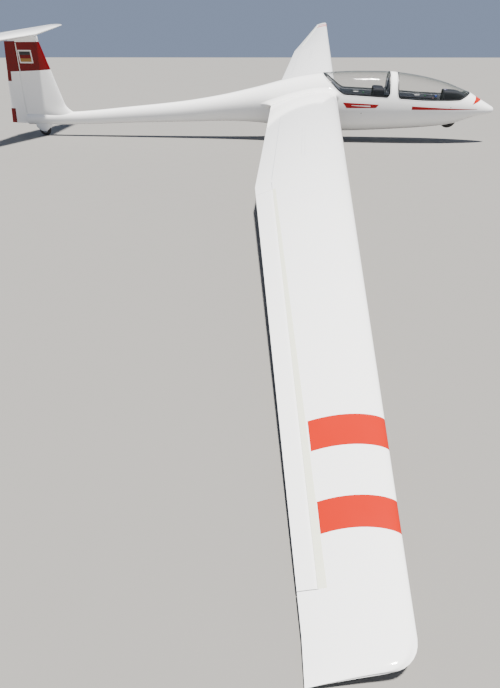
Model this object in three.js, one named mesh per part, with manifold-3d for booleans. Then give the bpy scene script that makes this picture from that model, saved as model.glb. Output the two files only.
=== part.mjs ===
// A two-seat training sailplane with a T-tail, parked with its starboard wing tip on the ground.
// Millimetres. The whole aircraft is first laid out with its wings level over the main wheel's contact
// point: x is the nose, y the port wing, z up. It is then rolled onto its starboard tip, turned so that
// the nose points to -X and the low tip to +Y, and moved so that the middle of its footprint is the origin.

import * as THREE from 'three';
import { mergeVertices } from 'three/addons/utils/BufferGeometryUtils.js';
import Module from 'manifold-3d';

const wasm = await Module();
wasm.setup();

const degree = Math.PI / 180;
const gap = 0.3;            // between pieces that touch
const clearance = 6;        // between a moving piece and what it moves past
const rollAngle = 6.62 * degree;

// Materials

function paint(color, roughness, metalness = 0) {
  return new THREE.MeshStandardMaterial({ color, roughness, metalness });
}

const gelcoat = paint(0xf2f1ee, 0.18);
const blackTyre = paint(0x1c1c1d, 0.85);
const alloy = paint(0xb4b6b8, 0.4, 0.9);
const steel = paint(0x8c8f92, 0.4, 0.9);
const cockpitGrey = paint(0x4b5058, 0.7);
const seatBlue = paint(0x2c3140, 0.9);
const panelBlack = paint(0x1b1d24, 0.6);
const frameBlack = paint(0x2a2b2d, 0.45);
const clearPane = new THREE.MeshStandardMaterial({
  color: 0xc9d2d0, roughness: 0.05, metalness: 0, transparent: true, opacity: 0.3
});

// Solids

function signedVolume(points, triangles) {
  let sum = 0;
  for (let i = 0; i < triangles.length; i += 3) {
    const [a, b, c] = [points[triangles[i]], points[triangles[i + 1]], points[triangles[i + 2]]];
    sum += a[0] * (b[1] * c[2] - b[2] * c[1]) - a[1] * (b[0] * c[2] - b[2] * c[0])
      + a[2] * (b[0] * c[1] - b[1] * c[0]);
  }
  return sum / 6;
}

function solidFrom(points, triangles) {
  const outward = signedVolume(points, triangles) > 0;
  const index = [];
  for (let i = 0; i < triangles.length; i += 3) {
    const [a, b, c] = [triangles[i], triangles[i + 1], triangles[i + 2]];
    index.push(...(outward ? [a, b, c] : [a, c, b]));
  }
  const mesh = new wasm.Mesh({
    numProp: 3,
    vertProperties: new Float32Array(points.flat()),
    triVerts: new Uint32Array(index)
  });
  mesh.merge();
  return new wasm.Manifold(mesh);
}

// Skin through rings of equal point counts; the ends are closed by strips between the ring's two halves.
function loft(rings) {
  const count = rings[0].length;
  const points = rings.flat();
  const triangles = [];
  for (let k = 0; k < rings.length - 1; k += 1) {
    for (let i = 0; i < count; i += 1) {
      const j = (i + 1) % count;
      const [a, b] = [k * count + i, k * count + j];
      triangles.push(a, b, b + count, a, b + count, a + count);
    }
  }
  for (const [start, turn] of [[0, false], [(rings.length - 1) * count, true]]) {
    for (let i = 0; i + 1 < count - 1 - i; i += 1) {
      const quad = [start + i, start + i + 1, start + count - 2 - i, start + count - 1 - i];
      const faces = [[quad[0], quad[3], quad[2]]];
      if (i + 1 < count - 2 - i) faces.push([quad[0], quad[2], quad[1]]);
      for (const face of faces) triangles.push(...(turn ? [face[0], face[2], face[1]] : face));
    }
  }
  return solidFrom(points, triangles);
}

function box(x0, x1, y0, y1, z0, z1) {
  return wasm.Manifold.cube([x1 - x0, y1 - y0, z1 - z0]).translate([x0, y0, z0]);
}

// A flat outline in x and z, drawn out from y0 to y1.
function plate(outline, y0, y1) {
  const section = new wasm.CrossSection([outline.map(([x, z]) => [x, z])], 'NonZero');
  return section.extrude(y1 - y0).rotate([90, 0, 0]).translate([0, y1, 0]);
}

// A solid of revolution about an axis along y, from an outline of [y, radius] pairs.
function turned(outline, segments, x, z) {
  const section = new wasm.CrossSection([outline.map(([y, r]) => [r, y])], 'NonZero');
  return section.revolve(segments).rotate([-90, 0, 0]).rotate([0, 90, 0])
    .translate([x, 0, z]);
}

function mirrored(solid) {
  return solid.mirror([0, 1, 0]);
}

const parts = [];

function add(name, solid, material) {
  const raw = solid.getMesh();
  const geometry = new THREE.BufferGeometry();
  geometry.setAttribute('position', new THREE.BufferAttribute(new Float32Array(raw.vertProperties), 3));
  geometry.setIndex(new THREE.BufferAttribute(new Uint32Array(raw.triVerts), 1));
  const merged = mergeVertices(geometry, 1e-4);
  merged.computeVertexNormals();
  const mesh = new THREE.Mesh(merged, material);
  mesh.name = name;
  parts.push(mesh);
  return solid;
}

// Smooth curve through the rows of a table, for one column.
function curve(rows, column, x) {
  const last = rows.length - 1;
  if (x >= rows[0].x) return rows[0][column];
  if (x <= rows[last].x) return rows[last][column];
  let k = 0;
  while (x < rows[k + 1].x) k += 1;
  const slope = (i) => {
    const [a, b] = [Math.max(i - 1, 0), Math.min(i + 1, last)];
    return (rows[b][column] - rows[a][column]) / (rows[b].x - rows[a].x);
  };
  const span = rows[k + 1].x - rows[k].x;
  const t = (x - rows[k].x) / span;
  const [p, q] = [rows[k][column], rows[k + 1][column]];
  const [m, n] = [slope(k) * span, slope(k + 1) * span];
  return (2 * t ** 3 - 3 * t ** 2 + 1) * p + (t ** 3 - 2 * t ** 2 + t) * m
    + (3 * t ** 2 - 2 * t ** 3) * q + (t ** 3 - t ** 2) * n;
}

// Fuselage outline, from the nose to the sternpost
const bodyRows = [
  { x: 3000, bottom: 486, top: 502, widest: 494, half: 8 },
  { x: 2985, bottom: 457, top: 528, widest: 492, half: 48 },
  { x: 2940, bottom: 441, top: 556, widest: 494, half: 85 },
  { x: 2850, bottom: 425, top: 605, widest: 500, half: 132 },
  { x: 2728, bottom: 402, top: 667, widest: 512, half: 180 },
  { x: 2600, bottom: 360, top: 738, widest: 524, half: 223 },
  { x: 2437, bottom: 305, top: 800, widest: 535, half: 264 },
  { x: 2191, bottom: 258, top: 887, widest: 550, half: 310 },
  { x: 1823, bottom: 222, top: 972, widest: 565, half: 343 },
  { x: 1357, bottom: 192, top: 1034, widest: 575, half: 355 },
  { x: 1000, bottom: 172, top: 1043, widest: 580, half: 354 },
  { x: 650, bottom: 160, top: 1040, widest: 585, half: 348 },
  { x: 250, bottom: 162, top: 1015, widest: 590, half: 335 },
  { x: -107, bottom: 188, top: 967, widest: 590, half: 314 },
  { x: -400, bottom: 226, top: 904, widest: 588, half: 288 },
  { x: -728, bottom: 263, top: 822, widest: 570, half: 245 },
  { x: -950, bottom: 276, top: 772, widest: 550, half: 213 },
  { x: -1356, bottom: 280, top: 688, widest: 506, half: 172 },
  { x: -1900, bottom: 263, top: 600, widest: 444, half: 141 },
  { x: -2343, bottom: 249, top: 548, widest: 405, half: 124 },
  { x: -2933, bottom: 231, top: 490, widest: 362, half: 107 },
  { x: -3885, bottom: 195, top: 402, widest: 300, half: 84 },
  { x: -4840, bottom: 186, top: 366, widest: 276, half: 62 }
];

function bodyRing(x, inset = { side: 0, top: 0, bottom: 0 }, count = 32) {
  const half = curve(bodyRows, 'half', x) - inset.side;
  const top = curve(bodyRows, 'top', x) - inset.top;
  const bottom = curve(bodyRows, 'bottom', x) + inset.bottom;
  const widest = curve(bodyRows, 'widest', x);
  const ring = [];
  for (let i = 0; i < count; i += 1) {
    const turn = (-90 + ((i + 0.5) * 360) / count) * degree;
    const [c, s] = [Math.cos(turn), Math.sin(turn)];
    const power = 2 / 2.15;
    const y = half * Math.sign(c) * Math.abs(c) ** power;
    const z = s > 0 ? (top - widest) * s ** power : -(widest - bottom) * (-s) ** power;
    ring.push([x, y, widest + z]);
  }
  return ring;
}

function body(stations, inset, count) {
  return loft(stations.map((x) => bodyRing(x, inset, count)));
}

// Wing shape
const wing = {
  leadingEdge: 490, sweep: 0.0086, height: 724, dihedral: Math.tan(2.31 * degree),
  rootY: 400, kinkY: 4768, tipY: 8750, rake: 38, cornerRadius: 75,
  rootChord: 1044, kinkChord: 809, tipChord: 255,
  rootIncidence: 8 * degree, tipIncidence: 10.4 * degree,
  rootThickness: 0.175, tipThickness: 0.145, camber: 0.026
};

function chordAt(y) {
  if (y <= wing.kinkY) return wing.rootChord + ((wing.kinkChord - wing.rootChord) * y) / wing.kinkY;
  return wing.kinkChord + ((wing.tipChord - wing.kinkChord) * (y - wing.kinkY)) / (wing.tipY - wing.kinkY);
}

function camberLine(f) {
  return wing.camber * 4 * f * (1 - f) * (0.6 + 0.8 * f);
}

function halfThickness(f, ratio) {
  return 5 * ratio * (0.2969 * Math.sqrt(f) - 0.126 * f - 0.3516 * f ** 2 + 0.2843 * f ** 3 - 0.1036 * f ** 4);
}

// The point at span y, at fraction f of the chord, on the upper (side 1) or lower (side -1) skin.
function wingPoint(y, f, side, edge = 1.5, scale = 1) {
  const share = y / wing.tipY;
  const chord = chordAt(y);
  const angle = wing.rootIncidence + (wing.tipIncidence - wing.rootIncidence) * share;
  const ratio = wing.rootThickness + (wing.tipThickness - wing.rootThickness) * share;
  const up = camberLine(f) * chord + side * (halfThickness(f, ratio) * chord + edge * f) * scale;
  return [
    wing.leadingEdge - y * wing.sweep - f * chord * Math.cos(angle) + up * Math.sin(angle),
    y,
    wing.height + y * wing.dihedral - f * chord * Math.sin(angle) + up * Math.cos(angle)
  ];
}

const skinFractions = [1, 0.9, 0.813, 0.7, 0.55, 0.4, 0.27, 0.16, 0.08, 0.03, 0.006];

function wingRing(y, { recess = 0, rake = 0, scale = 1, edge = 1.5, last = 1 } = {}) {
  const ring = [];
  const fractions = [...skinFractions.map((f) => [f, 1]), [0, 1], ...[...skinFractions].reverse().map((f) => [f, -1])];
  for (const [f, side] of fractions) {
    const along = recess + f * (last - recess);
    const point = wingPoint(y, along, side, edge, f === 0 ? 0 : scale * Math.min(1, f * 12));
    ring.push([point[0], point[1] + rake * f, point[2] + rake * f * wing.dihedral]);
  }
  return ring;
}

// Rings that round the forward corner of the tip.
function tipRings() {
  const rings = [];
  const start = wing.tipY - wing.rake - wing.cornerRadius;
  for (const turn of [0, 25, 50, 72, 90]) {
    const out = Math.sin(turn * degree);
    rings.push(wingRing(start + wing.cornerRadius * out, {
      recess: (wing.cornerRadius * (1 - Math.cos(turn * degree))) / wing.tipChord,
      rake: wing.rake * out,
      scale: Math.sqrt(1 - 0.8 * out ** 2)
    }));
  }
  return rings;
}

const aileron = { inner: 5010, outer: 8520, hinge: 0.83 };

function aileronCentre(y) {
  const [a, b] = [wingPoint(y, aileron.hinge, 1), wingPoint(y, aileron.hinge, -1)];
  return { x: (a[0] + b[0]) / 2, z: (a[2] + b[2]) / 2, radius: Math.hypot(a[0] - b[0], a[2] - b[2]) / 2 - 0.5 };
}

// Section of the aileron: a round nose about the hinge line, then the two skins back to the edge.
function aileronRing(y) {
  const centre = aileronCentre(y);
  const upper = [1, 0.93, 0.87].map((f) => wingPoint(y, f, 1));
  const lower = [0.87, 0.93, 1].map((f) => wingPoint(y, f, -1));
  const nose = [];
  for (const turn of [75, 45, 15, -15, -45, -75]) {
    nose.push([
      centre.x + centre.radius * Math.cos(turn * degree), y, centre.z + centre.radius * Math.sin(turn * degree)
    ]);
  }
  return [...upper, ...nose, ...lower];
}

// The room that the aileron needs in the wing: a cove about its nose, open to the rear.
function coveRing(y) {
  const centre = aileronCentre(y);
  const reach = centre.radius + clearance;
  const ring = [[centre.x - 400, y, centre.z - 150]];
  for (const turn of [-115, -80, -40, 0, 40, 80, 100]) {
    ring.push([centre.x + reach * Math.cos(turn * degree), y, centre.z + reach * Math.sin(turn * degree)]);
  }
  ring.push([centre.x - 20, y, centre.z + 120], [centre.x - 400, y, centre.z + 120]);
  return ring;
}

const brake = { inner: 2900, outer: 4200, fraction: 0.5, half: 14, depth: 95, cap: 5 };

function brakeFrame(y) {
  return wingPoint(y, brake.fraction, 1);
}

// A thin upright blade along the span, under the upper skin.
function brakeBody(margin, drop) {
  const rings = [];
  for (const y of [brake.inner - margin, brake.outer + margin]) {
    const [x, , z] = brakeFrame(y);
    const w = brake.half + margin;
    const lean = 0.15;
    const top = z + (margin > 0 ? 40 : -1);
    rings.push([
      [x - w, y, z - drop], [x + w, y, z - drop],
      [x + w, y, top + (margin > 0 ? 0 : w * lean)], [x - w, y, top - (margin > 0 ? 0 : w * lean)]
    ]);
  }
  return loft(rings);
}

function makeWing() {
  const rings = [wing.rootY + gap, 2500, wing.kinkY, 6700].map((y) => wingRing(y));
  let solid = loft([...rings, ...tipRings()]);
  solid = solid.subtract(loft([coveRing(aileron.inner - clearance), coveRing(aileron.outer + clearance)]));
  return solid.subtract(brakeBody(clearance, 78 + clearance));
}

const portWing = makeWing();
const portAileron = loft([aileronRing(aileron.inner), aileronRing(aileron.outer)]);
const portBrake = brakeBody(0, 78);

// A rubbing block under the wing tip, deep enough to reach the ground on the low side.
function makeSkid() {
  const y = 8560;
  const [low] = [wingPoint(y, 0.45, -1)];
  const ground = (y + 14) * Math.tan(rollAngle);
  const length = 62;
  const outline = [
    [low[0] - length, low[2] + 8], [low[0] - length, ground + 4], [low[0] - length * 0.6, ground],
    [low[0] + length * 0.6, ground], [low[0] + length, ground + 4], [low[0] + length, low[2] + 8]
  ];
  const block = plate(outline, y - 14, y + 14);
  const wingAbove = loft([wingRing(y - 40), wingRing(y + 40)]).translate([0, 0, -gap]);
  const filled = wingAbove.add(wingAbove.translate([0, 0, 12]));
  return block.subtract(filled);
}

const portSkid = makeSkid();

for (const [side, flip] of [['port', (s) => s], ['starboard', mirrored]]) {
  add(`wing_${side}`, flip(portWing), gelcoat);
  add(`aileron_${side}`, flip(portAileron), gelcoat);
  add(`airbrake_${side}`, flip(portBrake), alloy);
  add(`wingtip_skid_${side}`, flip(portSkid), blackTyre);
}

// Fuselage shell with the wing roots, hollow from the nose to behind the rear seat
const podStations = [
  3000, 2985, 2940, 2850, 2728, 2600, 2437, 2300, 2100, 1823, 1580, 1357, 1000, 650, 400, 250, 70, -107,
  -250, -400, -560, -728, -840, -950
];
const wall = 22;

// The outline with its corners cut back to a short curve, where its sides leave room.
function rounded(outline, radius) {
  const result = [];
  outline.forEach((corner, i) => {
    const [before, after] = [outline.at(i - 1), outline[(i + 1) % outline.length]];
    const away = (end) => {
      const length = Math.hypot(end[0] - corner[0], end[1] - corner[1]);
      const reach = Math.min(radius, length * 0.45) / length;
      return [corner[0] + (end[0] - corner[0]) * reach, corner[1] + (end[1] - corner[1]) * reach];
    };
    const [p, q] = [away(before), away(after)];
    for (const t of [0, 0.5, 1]) {
      result.push([0, 1].map((k) => (1 - t) ** 2 * p[k] + 2 * t * (1 - t) * corner[k] + t ** 2 * q[k]));
    }
  });
  return result;
}

const opening = {
  front: rounded([[1455, 688], [1832, 663], [2285, 653], [2412, 653], [2606, 745], [2606, 1200], [1406, 1200],
    [1406, 860], [1422, 740]], 30),
  rear: rounded([[246, 1200], [246, 1012], [508, 792], [600, 737], [900, 722], [1288, 700], [1330, 760],
    [1326, 900], [1326, 1200]], 30)
};

function rootFillet() {
  const rows = [
    { y: 0, rise: 2.1, grow: 0.33, forward: 150 },
    { y: 250, rise: 1.55, grow: 0.22, forward: 70 },
    { y: 310, rise: 1.2, grow: 0.1, forward: 22 },
    { y: 360, rise: 1.05, grow: 0.03, forward: 5 },
    { y: wing.rootY, rise: 1, grow: 0, forward: 0 }
  ];
  const rings = rows.map((row) => {
    const ring = wingRing(row.y);
    const chord = chordAt(row.y);
    const front = ring[skinFractions.length];
    const axis = wingPoint(row.y, 1, 0);
    return ring.map(([x, y, z], i) => {
      const f = (front[0] - x) / (front[0] - axis[0]);
      const line = front[2] + (axis[2] - front[2]) * f;
      return [x - f * row.grow * chord + (1 - f) * row.forward, y, line + (z - line) * row.rise];
    });
  });
  return loft(rings);
}

const noseX = 2330;
const noseZ = 345;
const fillet = rootFillet();
const outerBody = body(podStations);
const cavityStations = [2590, 2437, 2191, 1823, 1357, 1000, 650, 400, 250, 205];
let cavity = body(cavityStations, { side: wall, top: wall, bottom: 40 }, 28);
cavity = cavity.subtract(box(150, 300, -400, 400, 0, 480));
cavity = cavity.subtract(box(noseX - 171, noseX + 171, -80, 80, 0, 512));

const frontCut = plate(opening.front, -500, 500);
const rearCut = plate(opening.rear, -500, 500);
const mainWell = box(-240, 240, -82, 82, -50, 432);
const noseWell = box(noseX - 155, noseX + 155, -62, 62, 0, 496);

let pod = outerBody.add(fillet).add(mirrored(fillet));
pod = pod.subtract(cavity).subtract(frontCut).subtract(rearCut).subtract(mainWell).subtract(noseWell);
add('fuselage_pod', pod, gelcoat);

// Tail boom
const tailWheel = { x: -4575, radius: 100, minor: 24 };
tailWheel.z = tailWheel.radius - tailWheel.minor + tailWheel.minor / Math.cos(rollAngle);
const boomStations = [-950 - gap, -1356, -1900, -2343, -2933, -3885, -4400, -4838];
let boom = body(boomStations, undefined, 28);
const tailSlot = box(tailWheel.x - 118, tailWheel.x + 118, -34, 34, 0, 232);
boom = boom.subtract(tailSlot);

// Fin, rudder and their hinge line
function finLeading(z) {
  return -4109 - (z - 488) * 0.2446;
}
function hingeX(z) {
  return -4809 - (1028 - z) * 0.073;
}
function rudderTrailing(z) {
  return -5150 + (z - 201) * 0.168;
}
function finHalf(f, z) {
  const chord = finLeading(z) - rudderTrailing(z);
  return halfThickness(f, 0.115) * chord + 2 * f;
}
function finRing(z, back, trim = 0) {
  const chord = finLeading(z) - rudderTrailing(z);
  const front = finLeading(z) + trim;
  const share = (front - back) / chord;
  const ring = [];
  const steps = [1, 0.85, 0.68, 0.5, 0.33, 0.18, 0.08, 0.02];
  for (const f of steps) ring.push([front - f * (front - back), finHalf(f * share, z), z]);
  ring.push([front, 0, z]);
  for (const f of [...steps].reverse()) ring.push([front - f * (front - back), -finHalf(f * share, z), z]);
  return ring;
}
function rudderRing(z) {
  const chord = finLeading(z) - rudderTrailing(z);
  const share = (finLeading(z) - hingeX(z)) / chord;
  const radius = finHalf(share, z);
  const ring = [];
  const steps = [1, 0.6, 0.25];
  const at = (f) => [hingeX(z) - f * (hingeX(z) - rudderTrailing(z)), finHalf(share + f * (1 - share), z)];
  for (const f of steps) ring.push([at(f)[0], at(f)[1], z]);
  for (const turn of [80, 48, 16, -16, -48, -80]) {
    ring.push([hingeX(z) + radius * Math.cos(turn * degree), radius * Math.sin(turn * degree), z]);
  }
  for (const f of [...steps].reverse()) ring.push([at(f)[0], -at(f)[1], z]);
  return ring;
}
function finBack(z) {
  const chord = finLeading(z) - rudderTrailing(z);
  const share = (finLeading(z) - hingeX(z)) / chord;
  return hingeX(z) + finHalf(share, z) + clearance;
}
const finTop = 1452;
const rudderTop = 1462;
const rudderBottom = 212;
const finFoot = loft([300, 430, 500, 620, 800, 1100, finTop].map((z) => {
  const flare = { 300: 330, 430: 170, 500: 45, 620: 8 }[z] ?? 0;
  return finRing(z, finBack(z), flare);
}));
const rudder = loft([rudderBottom, 480, 800, 1100, rudderTop].map(rudderRing));
const rudderRoom = loft([100, 480, 800, 1100, 1500].map((z) => {
  const radius = finHalf((finLeading(z) - hingeX(z)) / (finLeading(z) - rudderTrailing(z)), z) + clearance;
  return [[hingeX(z) - 400, -300, z], [hingeX(z), -radius - 20, z], [hingeX(z) + radius * 0.72, -radius * 0.72, z],
    [hingeX(z) + radius, 0, z], [hingeX(z) + radius * 0.72, radius * 0.72, z], [hingeX(z), radius + 20, z],
    [hingeX(z) - 400, 300, z]];
}));
boom = boom.subtract(rudderRoom);
add('tail_boom', boom, gelcoat);
const boomRoom = boom.add(boom.translate([0, 0, -60])).add(boom.translate([0, 0, gap]));
add('fin', finFoot.subtract(boomRoom).subtract(rudderRoom), gelcoat);
add('rudder', rudder, gelcoat);

// Tailplane and elevator
const tail = {
  z: 1566, semi: 1680, rootFront: -4360, tipFront: -4618, rootBack: -5000, tipBack: -4860,
  hinge: 0.72, ratio: 0.115, tilt: 0.03
};
function tailPoint(y, f, side) {
  const share = Math.abs(y) / tail.semi;
  const front = tail.rootFront + (tail.tipFront - tail.rootFront) * share;
  const back = tail.rootBack + (tail.tipBack - tail.rootBack) * share;
  const chord = front - back;
  const up = side * (halfThickness(f, tail.ratio) * chord + 1.5 * f);
  return [front - f * chord, y, tail.z - (front - f * chord + 4680) * tail.tilt + up];
}
function tailHinge(y) {
  const [a, b] = [tailPoint(y, tail.hinge, 1), tailPoint(y, tail.hinge, -1)];
  return { x: a[0], z: (a[2] + b[2]) / 2, radius: (a[2] - b[2]) / 2 };
}
const tailStraight = tailHinge(1676).x;
function elevatorCentre(y) {
  const hinge = tailHinge(y);
  return { x: tailStraight, z: hinge.z, radius: Math.max(hinge.radius, 6) };
}
function tailSpanRing(y, lastX) {
  const ring = [];
  const share = Math.abs(y) / tail.semi;
  const front = tail.rootFront + (tail.tipFront - tail.rootFront) * share;
  const back = tail.rootBack + (tail.tipBack - tail.rootBack) * share;
  const last = (front - lastX) / (front - back);
  const steps = [1, 0.75, 0.5, 0.3, 0.14, 0.05, 0.01];
  for (const f of steps) ring.push(tailPoint(y, f * last, 1));
  ring.push(tailPoint(y, 0, 1));
  for (const f of [...steps].reverse()) ring.push(tailPoint(y, f * last, -1));
  return ring;
}
function elevatorRing(y) {
  const centre = elevatorCentre(y);
  const share = Math.abs(y) / tail.semi;
  const front = tail.rootFront + (tail.tipFront - tail.rootFront) * share;
  const back = tail.rootBack + (tail.tipBack - tail.rootBack) * share;
  const f0 = (front - tailStraight) / (front - back);
  const radius = (tailPoint(y, f0, 1)[2] - tailPoint(y, f0, -1)[2]) / 2;
  const ring = [];
  for (const f of [1, 0.6, 0.25]) ring.push(tailPoint(y, f0 + f * (1 - f0), 1));
  for (const turn of [75, 38, 0, -38, -75]) {
    ring.push([tailStraight + radius * Math.cos(turn * degree), y, centre.z + radius * Math.sin(turn * degree)]);
  }
  for (const f of [0.25, 0.6, 1]) ring.push(tailPoint(y, f0 + f * (1 - f0), -1));
  return ring;
}
function tailNoseRadius(y) {
  const share = Math.abs(y) / tail.semi;
  const front = tail.rootFront + (tail.tipFront - tail.rootFront) * share;
  const back = tail.rootBack + (tail.tipBack - tail.rootBack) * share;
  const f0 = (front - tailStraight) / (front - back);
  return (tailPoint(y, f0, 1)[2] - tailPoint(y, f0, -1)[2]) / 2;
}
const tailStations = [-1680, -1640, -840, 0, 840, 1640, 1680];
function tailplaneRing(y) {
  const ring = tailSpanRing(y, tailStraight + tailNoseRadius(y) + clearance);
  if (Math.abs(y) < 1680) return ring;
  return ring.map(([x, yy, z], i) => {
    const inward = Math.max(0, x - (tail.tipFront - 60));
    return [x - inward * 0.8, yy, elevatorCentre(y).z + (z - elevatorCentre(y).z) * 0.5];
  });
}
const tailplane = loft(tailStations.map(tailplaneRing));
add('tailplane', tailplane, gelcoat);
add('elevator', loft([-1676, 0, 1676].map(elevatorRing)), gelcoat);

// Fairing between the fin's top and the tailplane
const fairingRings = [];
for (const [z, front, half] of [[finTop + gap, -4362, 34], [1490, -4350, 40], [1530, -4356, 38], [1560, -4380, 28]]) {
  const back = -4872;
  const ring = [];
  const steps = [1, 0.8, 0.6, 0.4, 0.22, 0.09, 0.02];
  const width = (f) => half * Math.min(1, Math.sqrt(f / 0.3)) * (1 - 0.55 * Math.max(0, (f - 0.5) / 0.5) ** 2);
  for (const f of steps) ring.push([front - f * (front - back), width(f), z]);
  ring.push([front, 0, z]);
  for (const f of [...steps].reverse()) ring.push([front - f * (front - back), -width(f), z]);
  fairingRings.push(ring);
}
let fairing = loft(fairingRings);
const tailAbove = tailplane.intersect(box(-5000, -4000, -200, 200, 1000, 2000)).translate([0, 0, -gap]);
fairing = fairing.subtract(tailAbove).subtract(tailAbove.translate([0, 0, 30])).subtract(tailAbove.translate([0, 0, 60]));
fairing = fairing.subtract(box(-5000, tailStraight + 34, -300, 300, 1500, 1700));
fairing = fairing.subtract(box(-5000, -4742, -300, 300, 1400, rudderTop + 8));
add('tailplane_fairing', fairing, gelcoat);

// Wheels
const tyreSegments = 32;
function makeTyre(radius, minor, x, z, rim) {
  const outline = [];
  const crown = rollAngle / degree;
  for (const turn of [0, 35, 65, 90 - crown, 90 + crown, 115, 145, 180]) {
    outline.push([-minor * Math.cos(turn * degree), radius - minor + minor * Math.sin(turn * degree)]);
  }
  outline.push([minor * 0.72, rim], [-minor * 0.72, rim]);
  return turned(outline, tyreSegments, x, z);
}
function makeHub(rim, bore, half, x, z) {
  const r = rim - gap;
  const dish = [[-half, bore], [half, bore], [half, bore + 10], [half * 0.35, bore + 14], [half * 0.35, r - 14],
    [half * 0.72, r], [-half * 0.72, r], [-half * 0.35, r - 14], [-half * 0.35, bore + 14], [-half, bore + 10]];
  return turned(dish, tyreSegments, x, z);
}
function makeAxle(radius, half, x, z) {
  return turned([[-half, 0], [half, 0], [half, radius], [-half, radius]], 16, x, z);
}

const mainZ = 140 + 60 / Math.cos(rollAngle);
add('main_tyre', makeTyre(200, 60, 0, mainZ, 98), blackTyre);
add('main_hub', makeHub(98, 15.5, 52, 0, mainZ), alloy);
add('main_axle', makeAxle(15, 82 - gap, 0, mainZ), steel);

add('nose_tyre', makeTyre(130, 42, noseX, noseZ, 62), blackTyre);
add('nose_hub', makeHub(62, 10.5, 38, noseX, noseZ), alloy);
add('nose_axle', makeAxle(10, 62 - gap, noseX, noseZ), steel);

add('tail_tyre', makeTyre(tailWheel.radius, tailWheel.minor, tailWheel.x, tailWheel.z, 52), blackTyre);
add('tail_hub', makeHub(52, 6.5, 22, tailWheel.x, tailWheel.z), alloy);
add('tail_axle', makeAxle(6, 42, tailWheel.x, tailWheel.z), steel);

// The tail wheel's fairing: two cheeks joined ahead of and behind the wheel
const cheekRings = [];
for (const [z, front, back, half] of [[84, -4520, -4640, 42.5], [110, -4470, -4680, 43], [150, -4440, -4712, 47],
  [205, -4425, -4720, 50]]) {
  const ring = [];
  const middle = (front + back) / 2;
  const reach = (front - back) / 2;
  for (let i = 0; i < 20; i += 1) {
    const turn = ((i + 0.5) * 18) * degree;
    const [c, s] = [Math.cos(turn), Math.sin(turn)];
    ring.push([middle + reach * Math.sign(c) * Math.abs(c) ** 0.7, half * Math.sign(s) * Math.abs(s) ** 0.5, z]);
  }
  cheekRings.push(ring);
}
let tailFairing = loft(cheekRings);
tailFairing = tailFairing.subtract(tailSlot);
tailFairing = tailFairing.subtract(turned([[-60, 0], [60, 0], [60, 6.5], [-60, 6.5]], 16, tailWheel.x, tailWheel.z));
const boomAbove = body(boomStations, undefined, 28).translate([0, 0, -gap]);
tailFairing = tailFairing.subtract(boomAbove.add(boomAbove.translate([0, 0, 60])));
add('tail_wheel_fairing', tailFairing, gelcoat);

// Winch-launch hook under the belly, ahead of the main wheel
const hookOutline = [[282, 118], [318, 118], [330, 130], [330, 146], [300, 146], [300, 158.5], [352, 158.5],
  [352, 108], [334, 94], [270, 94], [256, 108], [256, 158.5], [282, 158.5]];
const belly = body(podStations).translate([0, 0, -gap]);
add('tow_hook', plate(hookOutline, -9, 9).subtract(belly), steel);

// Canopies: a rim that sits in the opening and the pane inside it
function shrunk(outline, distance) {
  const section = new wasm.CrossSection([outline], 'NonZero').offset(-distance, 'Miter', 2);
  return section.extrude(1000).rotate([90, 0, 0]).translate([0, 500, 0]);
}
const paneStations = [2700, 2600, 2437, 2300, 2100, 1823, 1580, 1357, 1000, 650, 400, 250, 150];
const outerSkin = body(paneStations);
const rimInner = body(paneStations, { side: 16, top: 16, bottom: 16 });
const paneOuter = body(paneStations, { side: 1, top: 1, bottom: 1 });
const paneInner = body(paneStations, { side: 6, top: 6, bottom: 6 });
for (const which of ['front', 'rear']) {
  const outer = shrunk(opening[which], clearance);
  const inner = shrunk(opening[which], clearance + 26);
  const paneEdge = shrunk(opening[which], clearance + 26 + gap);
  const above = box(0, 3000, -500, 500, 500, 1300);
  add(`canopy_frame_${which}`, outerSkin.subtract(rimInner).intersect(outer).intersect(above).subtract(inner), frameBlack);
  add(`canopy_glass_${which}`, paneOuter.subtract(paneInner).intersect(paneEdge), clearPane);
}

// Cockpit
function seat(x, z) {
  const outline = [
    [x - 500, z + 395], [x - 452, z + 400], [x - 175, z + 45], [x - 60, z + 10], [x + 60, z + 22], [x + 230, z + 92],
    [x + 235, z + 50], [x + 70, z - 22], [x - 70, z - 40], [x - 210, z + 5]
  ];
  return plate(outline.reverse(), -190, 190);
}
add('seat_front', seat(1775, 372), seatBlue);
add('seat_rear', seat(775, 372), seatBlue);

const headrests = [{ name: 'headrest_front', x: 1256, z: 852 }, { name: 'headrest_rear', x: 256, z: 852 }];
for (const { name, x, z } of headrests) {
  const outline = [[x, z - 60], [x + 46, z - 70], [x + 60, z + 90], [x + 18, z + 100]];
  add(name, plate(outline, -95, 95), seatBlue);
}

const podOutline = [[2168, 560], [2178, 780], [2385, 770], [2480, 736], [2552, 698], [2572, 560]];
add('instrument_pod_front', plate(podOutline.reverse(), -120, 120), panelBlack);
const panelOutline = [[1070, 560], [1070, 814], [1105, 824], [1232, 815], [1244, 798], [1244, 560]];
add('instrument_panel_rear', plate(panelOutline.reverse(), -170, 170), panelBlack);

for (const { name, x } of [{ name: 'stick_front', x: 2082 }, { name: 'stick_rear', x: 1066 }]) {
  const shaft = wasm.Manifold.cylinder(270, 10, 9, 12);
  const grip = wasm.Manifold.cylinder(110, 15, 18, 12).translate([0, 0, 262]);
  add(name, shaft.add(grip).rotate([0, -8, 0]).translate([x, 0, 290]), panelBlack);
}

for (const [side, flip] of [['port', (s) => s], ['starboard', mirrored]]) {
  const sill = plate([[600, 560], [600, 690], [2150, 620], [2150, 560]], 222, 258);
  add(`side_console_${side}`, flip(sill), cockpitGrey);
}

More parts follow.
